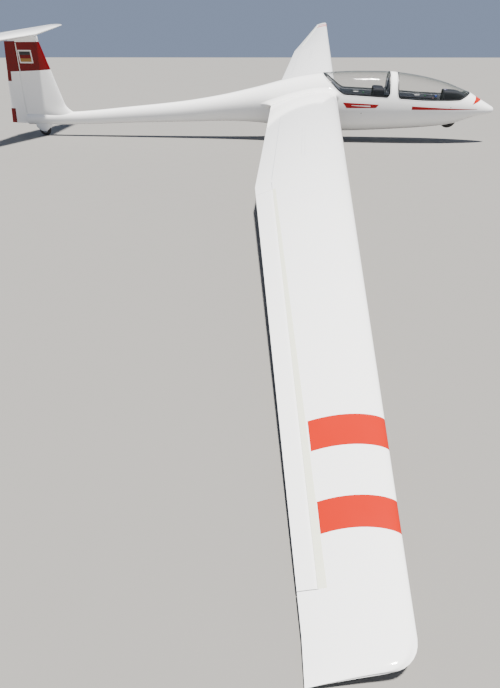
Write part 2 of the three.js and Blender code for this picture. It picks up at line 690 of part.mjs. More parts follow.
const glider = new THREE.Group();
glider.name = 'sailplane';
glider.add(...parts);
glider.rotation.set(-rollAngle, 0, Math.PI);
glider.updateMatrixWorld(true);
const extent = new THREE.Box3().setFromObject(glider, true);
glider.position.set(-(extent.min.x + extent.max.x) / 2, -(extent.min.y + extent.max.y) / 2, -extent.min.z);
glider.updateMatrixWorld(true);

const group = new THREE.Group();
group.name = 'glider';
group.add(glider);

export default group;
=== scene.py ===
# %% [markdown]
# # A two-seat sailplane, parked with one wing down
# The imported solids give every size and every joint. This lesson dresses them: smooth skins for the wings,
# fuselage and tail, clear canopies over two cockpits, and paint, cloth, rubber and metal made from nodes.

# %% Load the frame
import math

import bmesh
import bpy
import numpy as np
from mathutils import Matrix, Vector


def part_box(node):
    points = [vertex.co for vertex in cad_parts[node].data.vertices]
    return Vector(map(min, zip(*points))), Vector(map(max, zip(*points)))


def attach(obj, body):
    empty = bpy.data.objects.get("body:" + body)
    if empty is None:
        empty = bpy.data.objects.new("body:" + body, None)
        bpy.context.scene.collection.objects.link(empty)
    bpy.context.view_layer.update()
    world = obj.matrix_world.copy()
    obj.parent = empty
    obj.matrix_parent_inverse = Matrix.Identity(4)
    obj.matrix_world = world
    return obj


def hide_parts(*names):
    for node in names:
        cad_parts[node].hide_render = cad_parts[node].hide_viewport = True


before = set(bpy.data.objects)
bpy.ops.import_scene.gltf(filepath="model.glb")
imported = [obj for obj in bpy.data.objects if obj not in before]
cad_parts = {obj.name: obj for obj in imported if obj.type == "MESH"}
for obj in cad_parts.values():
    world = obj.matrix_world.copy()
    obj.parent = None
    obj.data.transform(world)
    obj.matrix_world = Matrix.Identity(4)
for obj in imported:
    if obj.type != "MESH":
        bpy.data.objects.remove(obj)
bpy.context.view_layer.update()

# %% [markdown]
# The aircraft is easiest to describe standing level: x forward from the main wheel, y to port, z up from the
# ground, with the plane of symmetry at y = 0. The real one leans on its starboard wing tip, so every point is
# rolled by 6.62 degrees, turned half round, because the frame's nose points to -X, and then moved. The main
# axle's solid shows how far. The height of that axle is the tyre's crown plus the round of its leaning tread.

# %% From level aircraft to parked aircraft
LEAN = math.radians(6.62)
HALF_TURN = np.diag([-1.0, -1.0, 1.0])
ROLL = HALF_TURN @ np.array([
    [1, 0, 0],
    [0, math.cos(LEAN), -math.sin(LEAN)],
    [0, math.sin(LEAN), math.cos(LEAN)],
])
axle_low, axle_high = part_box("main_axle")
axle_middle = (np.array(axle_low) + np.array(axle_high)) / 2
MAIN_CROWN, MAIN_ROUND = 0.14, 0.06
MAIN_AXLE_HEIGHT = MAIN_CROWN + MAIN_ROUND / math.cos(LEAN)
SHIFT = axle_middle - ROLL @ np.array([0, 0, MAIN_AXLE_HEIGHT])
SHIFT[2] = 0


def parked(points):
    """Level aircraft points, in metres, as they stand in the frame."""
    return np.asarray(points, float).reshape(-1, 3) @ ROLL.T + SHIFT


def placed(name, data):
    """A new object in the scene."""
    thing = bpy.data.objects.new(name, data)
    bpy.context.collection.objects.link(thing)
    return thing


print("shift from the main wheel's contact point:", SHIFT.round(4))

# %% [markdown]
# The camera stands beyond the low wing tip at eye height and looks 29 degrees down, slightly towards the
# tail. Its place and lens were found by fitting the wing's straight edges, both tips, the nose and the
# horizon.

# %% Camera
SENSOR, FOCAL_PIXELS, PICTURE_HEIGHT = 36, 516.4, 688
FROM_WHEEL, EYE_HEIGHT = (-0.105, 9.453), 1.256
LOOK_DOWN, LOOK_ASIDE = 29.25, 6.15
camera_data = bpy.data.cameras.new("camera")
camera_data.sensor_fit = "VERTICAL"
camera_data.sensor_height = SENSOR
camera_data.lens = FOCAL_PIXELS * SENSOR / PICTURE_HEIGHT
camera_data.clip_start = 0.05
camera_data.clip_end = 400
camera = placed("camera", camera_data)
camera.location = (SHIFT[0] + FROM_WHEEL[0], SHIFT[1] + FROM_WHEEL[1], EYE_HEIGHT)
camera.rotation_euler = (math.radians(90 - LOOK_DOWN), 0, math.radians(180 + LOOK_ASIDE))
bpy.context.scene.camera = camera
print("camera at", tuple(round(v, 3) for v in camera.location))

# %% [markdown]
# Nearly everything seen is polished or painted, so all finishes share one node group. It mixes two close
# colours in soft patches, varies the roughness with a finer grain, and gives a normal for waviness or weave.

# %% Shared finish group
def new_node(tree, kind, **values):
    """A node with the settings or input values that are given by name."""
    node = tree.nodes.new(kind)
    for name, value in values.items():
        if hasattr(node, name):
            setattr(node, name, value)
        else:
            node.inputs[name.replace("_", " ").title()].default_value = value
    return node


def sockets(tree, way, *rows):
    """Gives a node group its named inputs or outputs."""
    for name, kind in rows:
        tree.interface.new_socket(name, in_out=way, socket_type=f"NodeSocket{kind}")


def wire(tree, *links):
    """Joins sockets. A link names a node and its output, then a node and its input."""
    for source, output, target, entry in links:
        tree.links.new(source.outputs[output], target.inputs[entry])


def finish_group():
    tree = bpy.data.node_groups.new("patchy finish", "ShaderNodeTree")
    sockets(tree, "INPUT", ("Color A", "Color"), ("Color B", "Color"), ("Patch Scale", "Float"),
            ("Grain Scale", "Float"), ("Smoothest", "Float"), ("Roughest", "Float"),
            ("Bump Strength", "Float"), ("Bump Distance", "Float"))
    sockets(tree, "OUTPUT", ("Color", "Color"), ("Roughness", "Float"), ("Normal", "Vector"))
    given = tree.nodes.new("NodeGroupInput")
    result = tree.nodes.new("NodeGroupOutput")
    place = tree.nodes.new("ShaderNodeTexCoord")
    patches = new_node(tree, "ShaderNodeTexNoise", detail=4.0)
    grain = new_node(tree, "ShaderNodeTexNoise", detail=3.0)
    mix = new_node(tree, "ShaderNodeMix", data_type="RGBA")
    spread = tree.nodes.new("ShaderNodeMapRange")
    bump = tree.nodes.new("ShaderNodeBump")
    wire(tree,
         (place, "Object", patches, "Vector"), (given, "Patch Scale", patches, "Scale"),
         (place, "Object", grain, "Vector"), (given, "Grain Scale", grain, "Scale"),
         (patches, "Fac", mix, "Factor"), (given, "Color A", mix, "A"), (given, "Color B", mix, "B"),
         (mix, "Result", result, "Color"), (grain, "Fac", spread, "Value"),
         (given, "Smoothest", spread, "To Min"), (given, "Roughest", spread, "To Max"),
         (spread, "Result", result, "Roughness"), (grain, "Fac", bump, "Height"),
         (given, "Bump Strength", bump, "Strength"), (given, "Bump Distance", bump, "Distance"),
         (bump, "Normal", result, "Normal"))
    return tree


FINISH = finish_group()


def finish(name, color, other, patch, grain, smooth, rough, strength, depth, metallic=0.0, gloss=0.5):
    """Two close colours. patch and grain are scales, smooth and rough the range of roughness, strength and
    depth the bump's, and gloss the level of its plain reflections."""
    material = bpy.data.materials.new(name)
    material.use_nodes = True
    tree = material.node_tree
    shader = tree.nodes["Principled BSDF"]
    shader.inputs["Metallic"].default_value = metallic
    shader.inputs["Specular IOR Level"].default_value = gloss
    group = tree.nodes.new("ShaderNodeGroup")
    group.node_tree = FINISH
    for socket, value in (
            ("Color A", (*color, 1)), ("Color B", (*other, 1)), ("Patch Scale", patch),
            ("Grain Scale", grain), ("Smoothest", smooth), ("Roughest", rough),
            ("Bump Strength", strength), ("Bump Distance", depth)):
        group.inputs[socket].default_value = value
    wire(tree, (group, "Color", shader, "Base Color"), (group, "Roughness", shader, "Roughness"),
         (group, "Normal", shader, "Normal"))
    return material


gelcoat = finish("white gelcoat", (0.93, 0.93, 0.92), (0.90, 0.903, 0.905), 1.2, 9, 0.04, 0.09, 0.12, 0.0006)
signal_red = finish(
    "signal red", (0.16, 0.0004, 0.002), (0.135, 0.0003, 0.0016), 3, 14, 0.12, 0.2, 0.1, 0.0004, gloss=0.25)
band_orange = finish(
    "band orange", (0.42, 0.009, 0.0003), (0.375, 0.0075, 0.0002), 3, 14, 0.4, 0.55, 0.12, 0.0005, gloss=0.15)
# The cheat line's red is lighter than the fin's signal red: partly its own paint, partly painted light that
# makes up for the shade on the fuselage's side.
cheat_red_with_painted_light = finish(
    "cheat line red with painted light", (0.30, 0.0006, 0.004), (0.25, 0.0005, 0.0035),
    6, 30, 0.15, 0.24, 0.1, 0.0003, gloss=0.25)
print("finishes:", len(bpy.data.materials))

# %% [markdown]
# Each skin is a loft: closed rings of points joined by quads. One helper makes any of them, closes the ends
# with a flat face, turns all faces outwards and shades it smooth except across real edges. Others cut a piece
# with another and say which body carries it and which solids it stands for.

# %% Loft helper
SIDES = (("port", 1), ("starboard", -1))


def shade(mesh, sharp):
    """Smooth, with a hard edge where faces meet at more than sharp degrees."""
    mesh.shade_smooth()
    mesh.set_sharp_from_angle(angle=math.radians(sharp))


def applied(piece):
    """Gives the piece the mesh that its modifiers make."""
    mesh = bpy.data.meshes.new_from_object(piece.evaluated_get(bpy.context.evaluated_depsgraph_get()))
    piece.modifiers.clear()
    old = piece.data
    piece.data = mesh
    bpy.data.meshes.remove(old)
    mesh.name = piece.name
    return mesh


def piece_from(name, points, faces, materials, face_slots=None, sharp=35):
    mesh = bpy.data.meshes.new(name)
    mesh.from_pydata([tuple(p) for p in parked(points)], [], faces)
    for material in materials:
        mesh.materials.append(material)
    if face_slots is not None:
        mesh.polygons.foreach_set("material_index", face_slots)
    work = bmesh.new()
    work.from_mesh(mesh)
    bmesh.ops.recalc_face_normals(work, faces=work.faces)
    work.to_mesh(mesh)
    work.free()
    shade(mesh, sharp)
    return placed(name, mesh)


def loft(name, rings, materials=None, paint=None, sharp=35):
    """Joins closed rings into a skin. paint(row, column) gives a face's material slot."""
    rings = np.asarray(rings, float)
    rows, count = rings.shape[:2]
    faces, slots = [], []
    for r in range(rows - 1):
        for c in range(count):
            d = (c + 1) % count
            faces.append((r * count + c, r * count + d, (r + 1) * count + d, (r + 1) * count + c))
            slots.append(paint(r, c) if paint else 0)
    faces.append(tuple(range(count)))
    faces.append(tuple(range((rows - 1) * count, rows * count)))
    slots += [0, 0]
    return piece_from(name, rings.reshape(-1, 3), faces, materials or [gelcoat], slots, sharp)


def carve(piece, cutter, operation="DIFFERENCE", transfer=False):
    """Cuts one solid with another and drops the cutter. With transfer, cut faces take its material."""
    change = piece.modifiers.new("carve", "BOOLEAN")
    change.material_mode = "TRANSFER" if transfer else "INDEX"
    change.operation = operation
    change.solver = "EXACT"
    change.object = cutter
    mesh = applied(piece)
    bpy.data.objects.remove(cutter)
    shade(mesh, 35)


def block(x0, x1, y0, y1, z0, z1, materials=None):
    return loft("cutter", [[(x, y0, z0), (x, y1, z0), (x, y1, z1), (x, y0, z1)] for x in (x0, x1)], materials)


def plate(outline, y0, y1, name="cutter", materials=None):
    """A side-view outline of (x, z) points drawn out across the aircraft."""
    return loft(name, [[(x, y, z) for x, z in outline] for y in (y0, y1)], materials)


def through(outline):
    """A side-view outline drawn out wider than the fuselage, to cut right through it."""
    return plate(outline, -0.5, 0.5)


def settle(piece, body, slot, *nodes):
    """Says which body carries a piece and which solids it stands for. slot is not used."""
    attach(piece, body)
    if nodes:
        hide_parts(*nodes)


print("helpers ready")

# %% [markdown]
# The wing's section is thick and rounded in front and runs out to a thin edge. Its chord shrinks slowly to a
# kink a little past half span, then quickly to the tip. The same few numbers drive the solids.

# %% Wing shape
WING = {
    "front": 0.490, "sweep": 0.0086, "height": 0.724, "dihedral": math.tan(math.radians(2.31)),
    "root_y": 0.4003, "kink_y": 4.768, "tip_y": 8.750, "rake": 0.038, "corner": 0.075,
    "root_chord": 1.044, "kink_chord": 0.809, "tip_chord": 0.255,
    "root_angle": math.radians(8.0), "tip_angle": math.radians(10.4),
    "root_ratio": 0.175, "tip_ratio": 0.145, "camber": 0.026,
}


def chord_at(y):
    inner = WING["root_chord"] + (WING["kink_chord"] - WING["root_chord"]) * y / WING["kink_y"]
    share = (y - WING["kink_y"]) / (WING["tip_y"] - WING["kink_y"])
    outer = WING["kink_chord"] + (WING["tip_chord"] - WING["kink_chord"]) * share
    return np.where(y <= WING["kink_y"], inner, outer)


def half_thickness(f, ratio):
    return 5 * ratio * (0.2969 * np.sqrt(f) - 0.126 * f - 0.3516 * f**2 + 0.2843 * f**3 - 0.1036 * f**4)


def wing_point(y, f, side, scale=1.0, edge=0.0015):
    """Point at span y and chord fraction f, on the upper (side 1) or lower (side -1) skin, side 0 between."""
    y, f = np.broadcast_arrays(np.asarray(y, float), np.asarray(f, float))
    share = y / WING["tip_y"]
    chord = chord_at(y)
    angle, ratio = (
        WING[f"root_{what}"] + (WING[f"tip_{what}"] - WING[f"root_{what}"]) * share
        for what in ("angle", "ratio"))
    bend = WING["camber"] * 4 * f * (1 - f) * (0.6 + 0.8 * f)
    up = bend * chord + side * (half_thickness(f, ratio) * chord + edge * f) * scale
    x = WING["front"] - y * WING["sweep"] - f * chord * np.cos(angle) + up * np.sin(angle)
    z = WING["height"] + y * WING["dihedral"] - f * chord * np.sin(angle) + up * np.cos(angle)
    return np.stack([x, y, z], -1)


BANDS = [(7.869, 8.020), (8.230, 8.344)]
BAND_BACK, BAND_BOW, BOW_FROM = 0.745, 0.015, 0.36
AILERON = {"inner": 5.010, "outer": 8.520, "hinge": 0.83, "room": 0.0035, "end_room": 0.0025}
even_steps = np.round((1 - np.cos(np.linspace(0, math.pi, 29))) / 2, 5)
CHORD_STEPS = np.array(sorted(set(even_steps) | {BAND_BACK, AILERON["hinge"]}, reverse=True))


def wing_ring(y, recess=0.0, rake=0.0, scale=1.0):
    """A closed section. At a painted band's edge the ring bows outwards at its ends, as that edge does."""
    f = np.concatenate([CHORD_STEPS, CHORD_STEPS[-2::-1]])
    side = np.concatenate([np.ones(len(CHORD_STEPS)), -np.ones(len(CHORD_STEPS) - 1)])
    if any(y in band for band in BANDS):
        y = y + BAND_BOW * np.minimum(1, ((f - BOW_FROM) / (BAND_BACK - BOW_FROM)) ** 2)
    ring = wing_point(y, recess + f * (1 - recess), side, scale * np.minimum(1, f * 12) if recess else scale)
    ring[:, 1] += rake * f
    ring[:, 2] += rake * f * WING["dihedral"]
    return ring


TIP_START = WING["tip_y"] - WING["rake"] - WING["corner"]
TIP_TURNS = np.radians([0, 12, 24, 36, 48, 60, 70, 79, 86, 90])
plain_stations = {WING["root_y"], 1.2, 2.0, 2.8, 3.6, 4.2, WING["kink_y"], 5.5, 6.2, 7.0, 7.6, 8.5}
span_stations = sorted(plain_stations | {y for band in BANDS for y in band})


def wing_rings():
    rings = [wing_ring(y) for y in span_stations]
    for turn in TIP_TURNS:
        out = math.sin(turn)
        rings.append(wing_ring(
            TIP_START + WING["corner"] * out, WING["corner"] * (1 - math.cos(turn)) / WING["tip_chord"],
            WING["rake"] * out, math.sqrt(max(0.02, 1 - out**2 * 0.94))))
    return rings


def band_paint(row, column):
    """Orange (1) between the edges of a band and ahead of its rear end, on both skins."""
    if row >= len(span_stations) - 1:
        return 0
    middle = (span_stations[row] + span_stations[row + 1]) / 2
    last = len(CHORD_STEPS) - 1
    k = column if column < last else 2 * last - column
    fraction = (CHORD_STEPS[k] + CHORD_STEPS[k + 1 if column < last else max(k - 1, 0)]) / 2
    return int(any(a < middle < b for a, b in BANDS) and fraction < BAND_BACK)


print("wing stations:", len(span_stations), "chord steps:", len(CHORD_STEPS))

# %% [markdown]
# The aileron turns about a line at 83 percent of the chord. Its nose is round about that line, and the wing
# behind the rear spar is a hollow cove with a few millimetres to spare, so it never rubs at any angle.

# %% Ailerons, coves and airbrake slots
def aileron_line(y):
    upper, lower = wing_point(y, AILERON["hinge"], 1), wing_point(y, AILERON["hinge"], -1)
    middle = (upper + lower) / 2
    return middle, np.linalg.norm(upper - lower) / 2 - 0.0005


def arc(middle, radius, turns):
    turns = np.radians(turns)
    y = np.full(len(turns), middle[1])
    return np.stack([middle[0] + radius * np.cos(turns), y, middle[2] + radius * np.sin(turns)], -1)


def aileron_ring(y):
    middle, radius = aileron_line(y)
    back = np.linspace(1, 0.85, 10)
    return np.concatenate([
        wing_point(y, back, 1), arc(middle, radius, np.linspace(80, -80, 15)), wing_point(y, back[::-1], -1)])


def cove_ring(y):
    middle, radius = aileron_line(y)
    reach = radius + AILERON["room"]
    behind = [(middle[0] + x, y, middle[2] + z) for x, z in ((-0.01, 0.12), (-0.4, 0.12), (-0.4, -0.15))]
    return np.concatenate([arc(middle, reach, np.linspace(-100, 84, 20)), behind])


BRAKE = {"inner": 2.900, "outer": 4.200, "fraction": 0.5, "half": 0.014, "drop": 0.084, "room": 0.0025}


def brake_rings(room, drop, rise):
    rings = []
    for y in (BRAKE["inner"] - room, BRAKE["outer"] + room):
        x, _, z = wing_point(y, BRAKE["fraction"], 1)
        w = BRAKE["half"] + room
        rings.append([(x - w, y, z - drop), (x + w, y, z - drop), (x + w, y, z + rise), (x - w, y, z + rise)])
    return rings


def flipped(rings, side):
    """The same rings for the port (1) or the starboard (-1) side."""
    return [np.array(ring, float) * (1, side, 1) for ring in rings]


for side_name, side in SIDES:
    wing = loft(f"wing_skin_{side_name}", flipped(wing_rings(), side), [gelcoat, band_orange], band_paint)
    inner, outer = AILERON["inner"] - AILERON["end_room"], AILERON["outer"] + AILERON["end_room"]
    carve(wing, loft("cutter", flipped([cove_ring(inner), cove_ring(outer)], side)))
    carve(wing, loft("cutter", flipped(brake_rings(BRAKE["room"], BRAKE["drop"], 0.04), side)))
    settle(wing, "airframe", "gelcoat", f"wing_{side_name}")
    stations = np.linspace(AILERON["inner"], AILERON["outer"], 12)
    flap = loft(f"aileron_skin_{side_name}", flipped([aileron_ring(y) for y in stations], side))
    settle(flap, f"aileron_{side_name}", "gelcoat", f"aileron_{side_name}")
    print(wing.name, len(wing.data.polygons), flap.name, len(flap.data.polygons))

# %% [markdown]
# The fuselage is a row of egg-shaped frames. A table holds each frame's bottom, top, widest height and half
# width, and a smooth curve through the table gives any frame between them.

# %% Fuselage shape
# x, bottom, top, height of the widest place, half width
BODY = np.array([
    (3.000, 0.486, 0.502, 0.494, 0.008), (2.985, 0.457, 0.528, 0.492, 0.048),
    (2.940, 0.441, 0.556, 0.494, 0.085), (2.850, 0.425, 0.605, 0.500, 0.132),
    (2.728, 0.402, 0.667, 0.512, 0.180), (2.600, 0.360, 0.738, 0.524, 0.223),
    (2.437, 0.305, 0.800, 0.535, 0.264), (2.191, 0.258, 0.887, 0.550, 0.310),
    (1.823, 0.222, 0.972, 0.565, 0.343), (1.357, 0.192, 1.034, 0.575, 0.355),
    (1.000, 0.172, 1.043, 0.580, 0.354), (0.650, 0.160, 1.040, 0.585, 0.348),
    (0.250, 0.162, 1.015, 0.590, 0.335), (-0.107, 0.188, 0.967, 0.590, 0.314),
    (-0.400, 0.226, 0.904, 0.588, 0.288), (-0.728, 0.263, 0.822, 0.570, 0.245),
    (-0.950, 0.276, 0.772, 0.550, 0.213), (-1.356, 0.280, 0.688, 0.506, 0.172),
    (-1.900, 0.263, 0.600, 0.444, 0.141), (-2.343, 0.249, 0.548, 0.405, 0.124),
    (-2.933, 0.231, 0.490, 0.362, 0.107), (-3.885, 0.195, 0.402, 0.300, 0.084),
    (-4.840, 0.186, 0.366, 0.276, 0.062),
])
BOTTOM, TOP, WIDEST, HALF = 1, 2, 3, 4
SQUARE = 2.15


def eased(t, start, leave, end, arrive, span=1.0):
    """A smooth curve from start to end, with the slopes it leaves and arrives with."""
    return ((2 * t**3 - 3 * t**2 + 1) * start + (t**3 - 2 * t**2 + t) * leave * span
            + (3 * t**2 - 2 * t**3) * end + (t**3 - t**2) * arrive * span)


def frame_value(column, x):
    """Smooth curve through one column of the table."""
    x = np.clip(np.asarray(x, float), BODY[-1, 0], BODY[0, 0])
    xs, values = BODY[::-1, 0], BODY[::-1, column]
    k = np.clip(np.searchsorted(xs, x, "right") - 1, 0, len(xs) - 2)
    low = np.clip(np.arange(len(xs)) - 1, 0, None)
    high = np.clip(np.arange(len(xs)) + 1, None, len(xs) - 1)
    slopes = (values[high] - values[low]) / (xs[high] - xs[low])
    span = xs[k + 1] - xs[k]
    return eased((x - xs[k]) / span, values[k], slopes[k], values[k + 1], slopes[k + 1], span)


def from_widest(x, z):
    """How far the skin reaches from its widest height, up or down, on the side where z is."""
    widest = frame_value(WIDEST, x)
    return np.where(z > widest, frame_value(TOP, x) - widest, widest - frame_value(BOTTOM, x))


def body_ring(x, inset=(0, 0, 0), count=96):
    """One frame, or one that is smaller by an inset at the sides, the top and the bottom."""
    side_inset, top_inset, bottom_inset = inset
    half = frame_value(HALF, x) - side_inset
    top, bottom = frame_value(TOP, x) - top_inset, frame_value(BOTTOM, x) + bottom_inset
    widest = frame_value(WIDEST, x)
    turns = np.radians(-90 + (np.arange(count) + 0.5) * 360 / count)
    c, s = np.cos(turns), np.sin(turns)
    power = 2 / SQUARE
    y = half * np.sign(c) * np.abs(c) ** power
    rise = np.where(s > 0, (top - widest), (widest - bottom)) * np.sign(s) * np.abs(s) ** power
    return np.stack([np.full(count, float(x)), y, widest + rise], -1)


def side_y(x, z, out=0.0):
    """Half width of the fuselage skin at x and height z."""
    share = np.abs((z - frame_value(WIDEST, x)) / from_widest(x, z))
    return frame_value(HALF, x) * np.clip(1 - share ** SQUARE, 0, 1) ** (1 / SQUARE) + out


def skin_normal(x, z):
    """Outward direction of the port skin at x and height z, from the slope of the surface."""
    def rest(x, y, z):
        up = (z - frame_value(WIDEST, x)) / from_widest(x, z)
        return np.abs(y / frame_value(HALF, x)) ** SQUARE + np.abs(up) ** SQUARE

    y, step = side_y(x, z), 0.0005
    slope = np.stack([
        rest(x + step * a, y + step * b, z + step * c) - rest(x - step * a, y - step * b, z - step * c)
        for a, b, c in ((1, 0, 0), (0, 1, 0), (0, 0, 1))], -1)
    return slope / np.linalg.norm(slope, axis=-1, keepdims=True)


def skin_point(x, z, out=0.0):
    """Point on the port skin, raised along its normal."""
    x, z = np.broadcast_arrays(np.asarray(x, float), np.asarray(z, float))
    return np.stack([x, side_y(x, z), z], -1) + out * skin_normal(x, z)


def body_loft(name, xs, inset=(0, 0, 0), materials=None, count=96):
    return loft(name, [body_ring(x, inset, count) for x in xs], materials)


nose_steps = [3.0, 2.998, 2.994, 2.985, 2.972, 2.955, 2.93] + list(np.arange(2.905, 2.56, -0.02))
pod_steps = nose_steps + list(np.arange(2.55, -0.94, -0.045)) + [-0.95]
print("fuselage frames:", len(pod_steps), "length", round(float(BODY[0, 0] - BODY[-1, 0]), 2))

# %% [markdown]
# The two canopy openings are drawn in side view, with rounded corners, and cut straight across the shell.
# What stays between them is the narrow white arch, which flares into the sill.

# %% Canopy outlines
def rounded(outline, radius=0.03, steps=5):
    """The outline with its corners rounded, where its sides leave room."""
    points = [np.array(p, float) for p in outline]
    result = []
    for i, corner in enumerate(points):
        before, after = points[i - 1], points[(i + 1) % len(points)]
        a, b = before - corner, after - corner
        reach = min(radius, np.linalg.norm(a) * 0.45, np.linalg.norm(b) * 0.45)
        p, q = corner + a / np.linalg.norm(a) * reach, corner + b / np.linalg.norm(b) * reach
        for t in np.linspace(0, 1, steps):
            result.append((1 - t) ** 2 * p + 2 * t * (1 - t) * corner + t**2 * q)
    return np.array(result)


def shrunk(outline, distance):
    """The outline moved inwards by a distance."""
    outline = np.asarray(outline, float)
    x, z = outline.T
    area = 0.5 * np.sum(x * np.roll(z, -1) - np.roll(x, -1) * z)
    moved = []
    for i, corner in enumerate(outline):
        a, b = corner - outline[i - 1], outline[(i + 1) % len(outline)] - corner
        a, b = a / np.linalg.norm(a), b / np.linalg.norm(b)
        n, m = np.array([-a[1], a[0]]), np.array([-b[1], b[0]])
        bisector = (n + m) / max(0.3, 1 + float(n @ m))
        moved.append(corner + bisector * distance * np.sign(area))
    return np.array(moved)


OPENING = {
    "front": [(1.455, 0.688), (1.832, 0.663), (2.285, 0.653), (2.412, 0.653), (2.606, 0.745), (2.606, 1.2),
              (1.406, 1.2), (1.406, 0.86), (1.422, 0.74)],
    "rear": [(0.246, 1.2), (0.246, 1.012), (0.508, 0.792), (0.600, 0.737), (0.900, 0.722), (1.288, 0.700),
             (1.330, 0.760), (1.326, 0.900), (1.326, 1.2)],
}


def opening(which, inset=0.0):
    """The side-view outline of an opening, or of a piece that is smaller all round by inset."""
    return rounded(shrunk(OPENING[which], inset) if inset else OPENING[which])


print("opening corners:", {which: len(opening(which)) for which in OPENING})

# %% [markdown]
# The pod is cut like the real moulding: a hollow cockpit, two openings, and two wells for the wheels. Where
# the wing meets the body, a fillet sweeps the wing's own section out to the skin, along curves that start in
# the body's surface and end in the wing's direction.

# %% Fuselage pod
cockpit_grey = finish(
    "cockpit lacquer", (0.44, 0.45, 0.47), (0.36, 0.37, 0.39), 60, 420, 0.42, 0.6, 0.5, 0.0005)
well_grey = finish(
    "wheel well primer", (0.20, 0.20, 0.195), (0.13, 0.13, 0.125), 12, 90, 0.6, 0.85, 0.4, 0.0006)
NOSE_WELL = (2.175, 2.485)
pod = body_loft("pod_skin", pod_steps)
cavity_steps = [2.59, 2.5, 2.437, 2.3, 2.191, 2.0, 1.823, 1.6, 1.357, 1.2, 1.0, 0.8, 0.65, 0.4, 0.25, 0.205]
cavity = body_loft("cutter", cavity_steps, (0.022, 0.022, 0.04), [cockpit_grey], 72)
carve(cavity, block(0.15, 0.30, -0.4, 0.4, 0, 0.48))
carve(cavity, block(NOSE_WELL[0] - 0.016, NOSE_WELL[1] + 0.016, -0.08, 0.08, 0, 0.512))
carve(pod, cavity, transfer=True)
for which in ("front", "rear"):
    carve(pod, through(opening(which)))
carve(pod, block(-0.24, 0.24, -0.082, 0.082, -0.05, 0.432, [well_grey]), transfer=True)
carve(pod, block(*NOSE_WELL, -0.062, 0.062, 0, 0.496, [well_grey]), transfer=True)
settle(pod, "airframe", "gelcoat", "fuselage_pod")


FILLET_END = 0.3995


def fillet_rings(side):
    """Curves from the fuselage skin to the wing root, one for each point of the wing's section."""
    root = wing_ring(FILLET_END)
    count = len(root)
    upper = len(CHORD_STEPS) - 1
    middle = wing_point(FILLET_END, 0.4, 0)
    rings = [[] for _ in range(13)]
    for i, end in enumerate(root):
        before, after = root[i - 1] if i else root[0], root[i + 1] if i + 1 < count else root[-1]
        along = (after - before)[[0, 2]]
        normal = np.array([along[1], -along[0]]) / max(1e-9, np.linalg.norm(along))
        if normal @ (end - middle)[[0, 2]] < 0:
            normal = -normal
        f = CHORD_STEPS[i] if i <= upper else CHORD_STEPS[2 * upper - i]
        tail = max(0.0, (f - 0.55) / 0.45)
        reach = 0.075 + 0.035 * tail
        start = end[[0, 2]] + normal * reach + np.array([-0.20 * tail**2, 0.0])
        if i in (0, count - 1):
            start = end[[0, 2]] + np.array([-0.31, 0.016 if i == 0 else 0.004])
        y0 = float(side_y(start[0], start[1])) - 0.001
        p0 = np.array([start[0], y0, start[1]])
        lean = (float(side_y(end[0], end[2])) - y0) * 0.6
        t0 = np.array([(end[0] - start[0]), lean, (end[2] - start[1])]) * 1.6
        t1 = np.array([0, (FILLET_END - y0) * 1.7, 0])
        inside = p0 + np.array([0, -0.03, 0])
        rings[0].append(inside)
        for k, t in enumerate(np.linspace(0, 1, 12)):
            rings[k + 1].append(eased(t, p0, t0, end, t1))
    return flipped(rings, side)


for side_name, side in SIDES:
    fillet = loft(f"root_fillet_{side_name}", fillet_rings(side), [gelcoat], sharp=60)
    carve(fillet, through(opening("rear")))
    settle(fillet, "airframe", "gelcoat")
print("pod faces:", len(pod.data.polygons))

# %% [markdown]
# The tail boom carries a tall fin. Fin and rudder share one section, cut at the hinge line, and the upper
# half of both is red. Their rings are level slices, so the red starts on an exact edge.

# %% Boom, fin and rudder
# each upright line of the fin: x at a height, that height, and how far it runs forward for each metre up
FIN_FRONT, HINGE, RUDDER_BACK = (-4.109, 0.488, -0.2446), (-4.809, 1.028, 0.073), (-5.150, 0.201, 0.168)
FIN_RATIO = 0.115
RED_FOOT = {"front": 1.049, "rear": 1.016, "front_x": -4.25, "rear_x": -5.01}
FIN_FOOT, FIN_TOP, RUDDER_TOP, RUDDER_FOOT = 0.30, 1.452, 1.462, 0.212


def upright(line, z):
    x, height, run = line
    return x + (z - height) * run


def fin_front(z):
    return upright(FIN_FRONT, z)


def hinge_x(z):
    return upright(HINGE, z)


def rudder_back(z):
    return upright(RUDDER_BACK, z)


def fin_half(f, z):
    return half_thickness(f, FIN_RATIO) * (fin_front(z) - rudder_back(z)) + 0.002 * f


def hinge_share(z):
    return (fin_front(z) - hinge_x(z)) / (fin_front(z) - rudder_back(z))


fin_steps = (1 - np.cos(np.linspace(0, math.pi / 2, 20)))[::-1]


def fin_ring(z, flare=0.0):
    front, back = fin_front(z) + flare, hinge_x(z) + fin_half(hinge_share(z), z) + 0.0035
    share = (front - back) / (fin_front(z) - rudder_back(z))
    x = front - fin_steps * (front - back)
    y = fin_half(fin_steps * share, z)
    left = np.stack([x, y, np.full(len(x), z)], -1)
    right = (left * (1, -1, 1))[-2::-1]
    return np.concatenate([left, right])


def rudder_ring(z):
    share, middle = hinge_share(z), hinge_x(z)
    radius = fin_half(share, z)
    f = np.linspace(1, 0.12, 9)
    x = middle - f * (middle - rudder_back(z))
    y = fin_half(share + f * (1 - share), z)
    turns = np.radians(np.linspace(82, -82, 13))
    nose = np.stack([middle + radius * np.cos(turns), radius * np.sin(turns), np.full(13, z)], -1)
    left = np.stack([x, y, np.full(len(x), z)], -1)
    return np.concatenate([left, nose, (left * (1, -1, 1))[::-1]])


def red_foot(x):
    """Height of the red's slanted foot."""
    t = (x - RED_FOOT["front_x"]) / (RED_FOOT["rear_x"] - RED_FOOT["front_x"])
    return RED_FOOT["front"] + (RED_FOOT["rear"] - RED_FOOT["front"]) * t


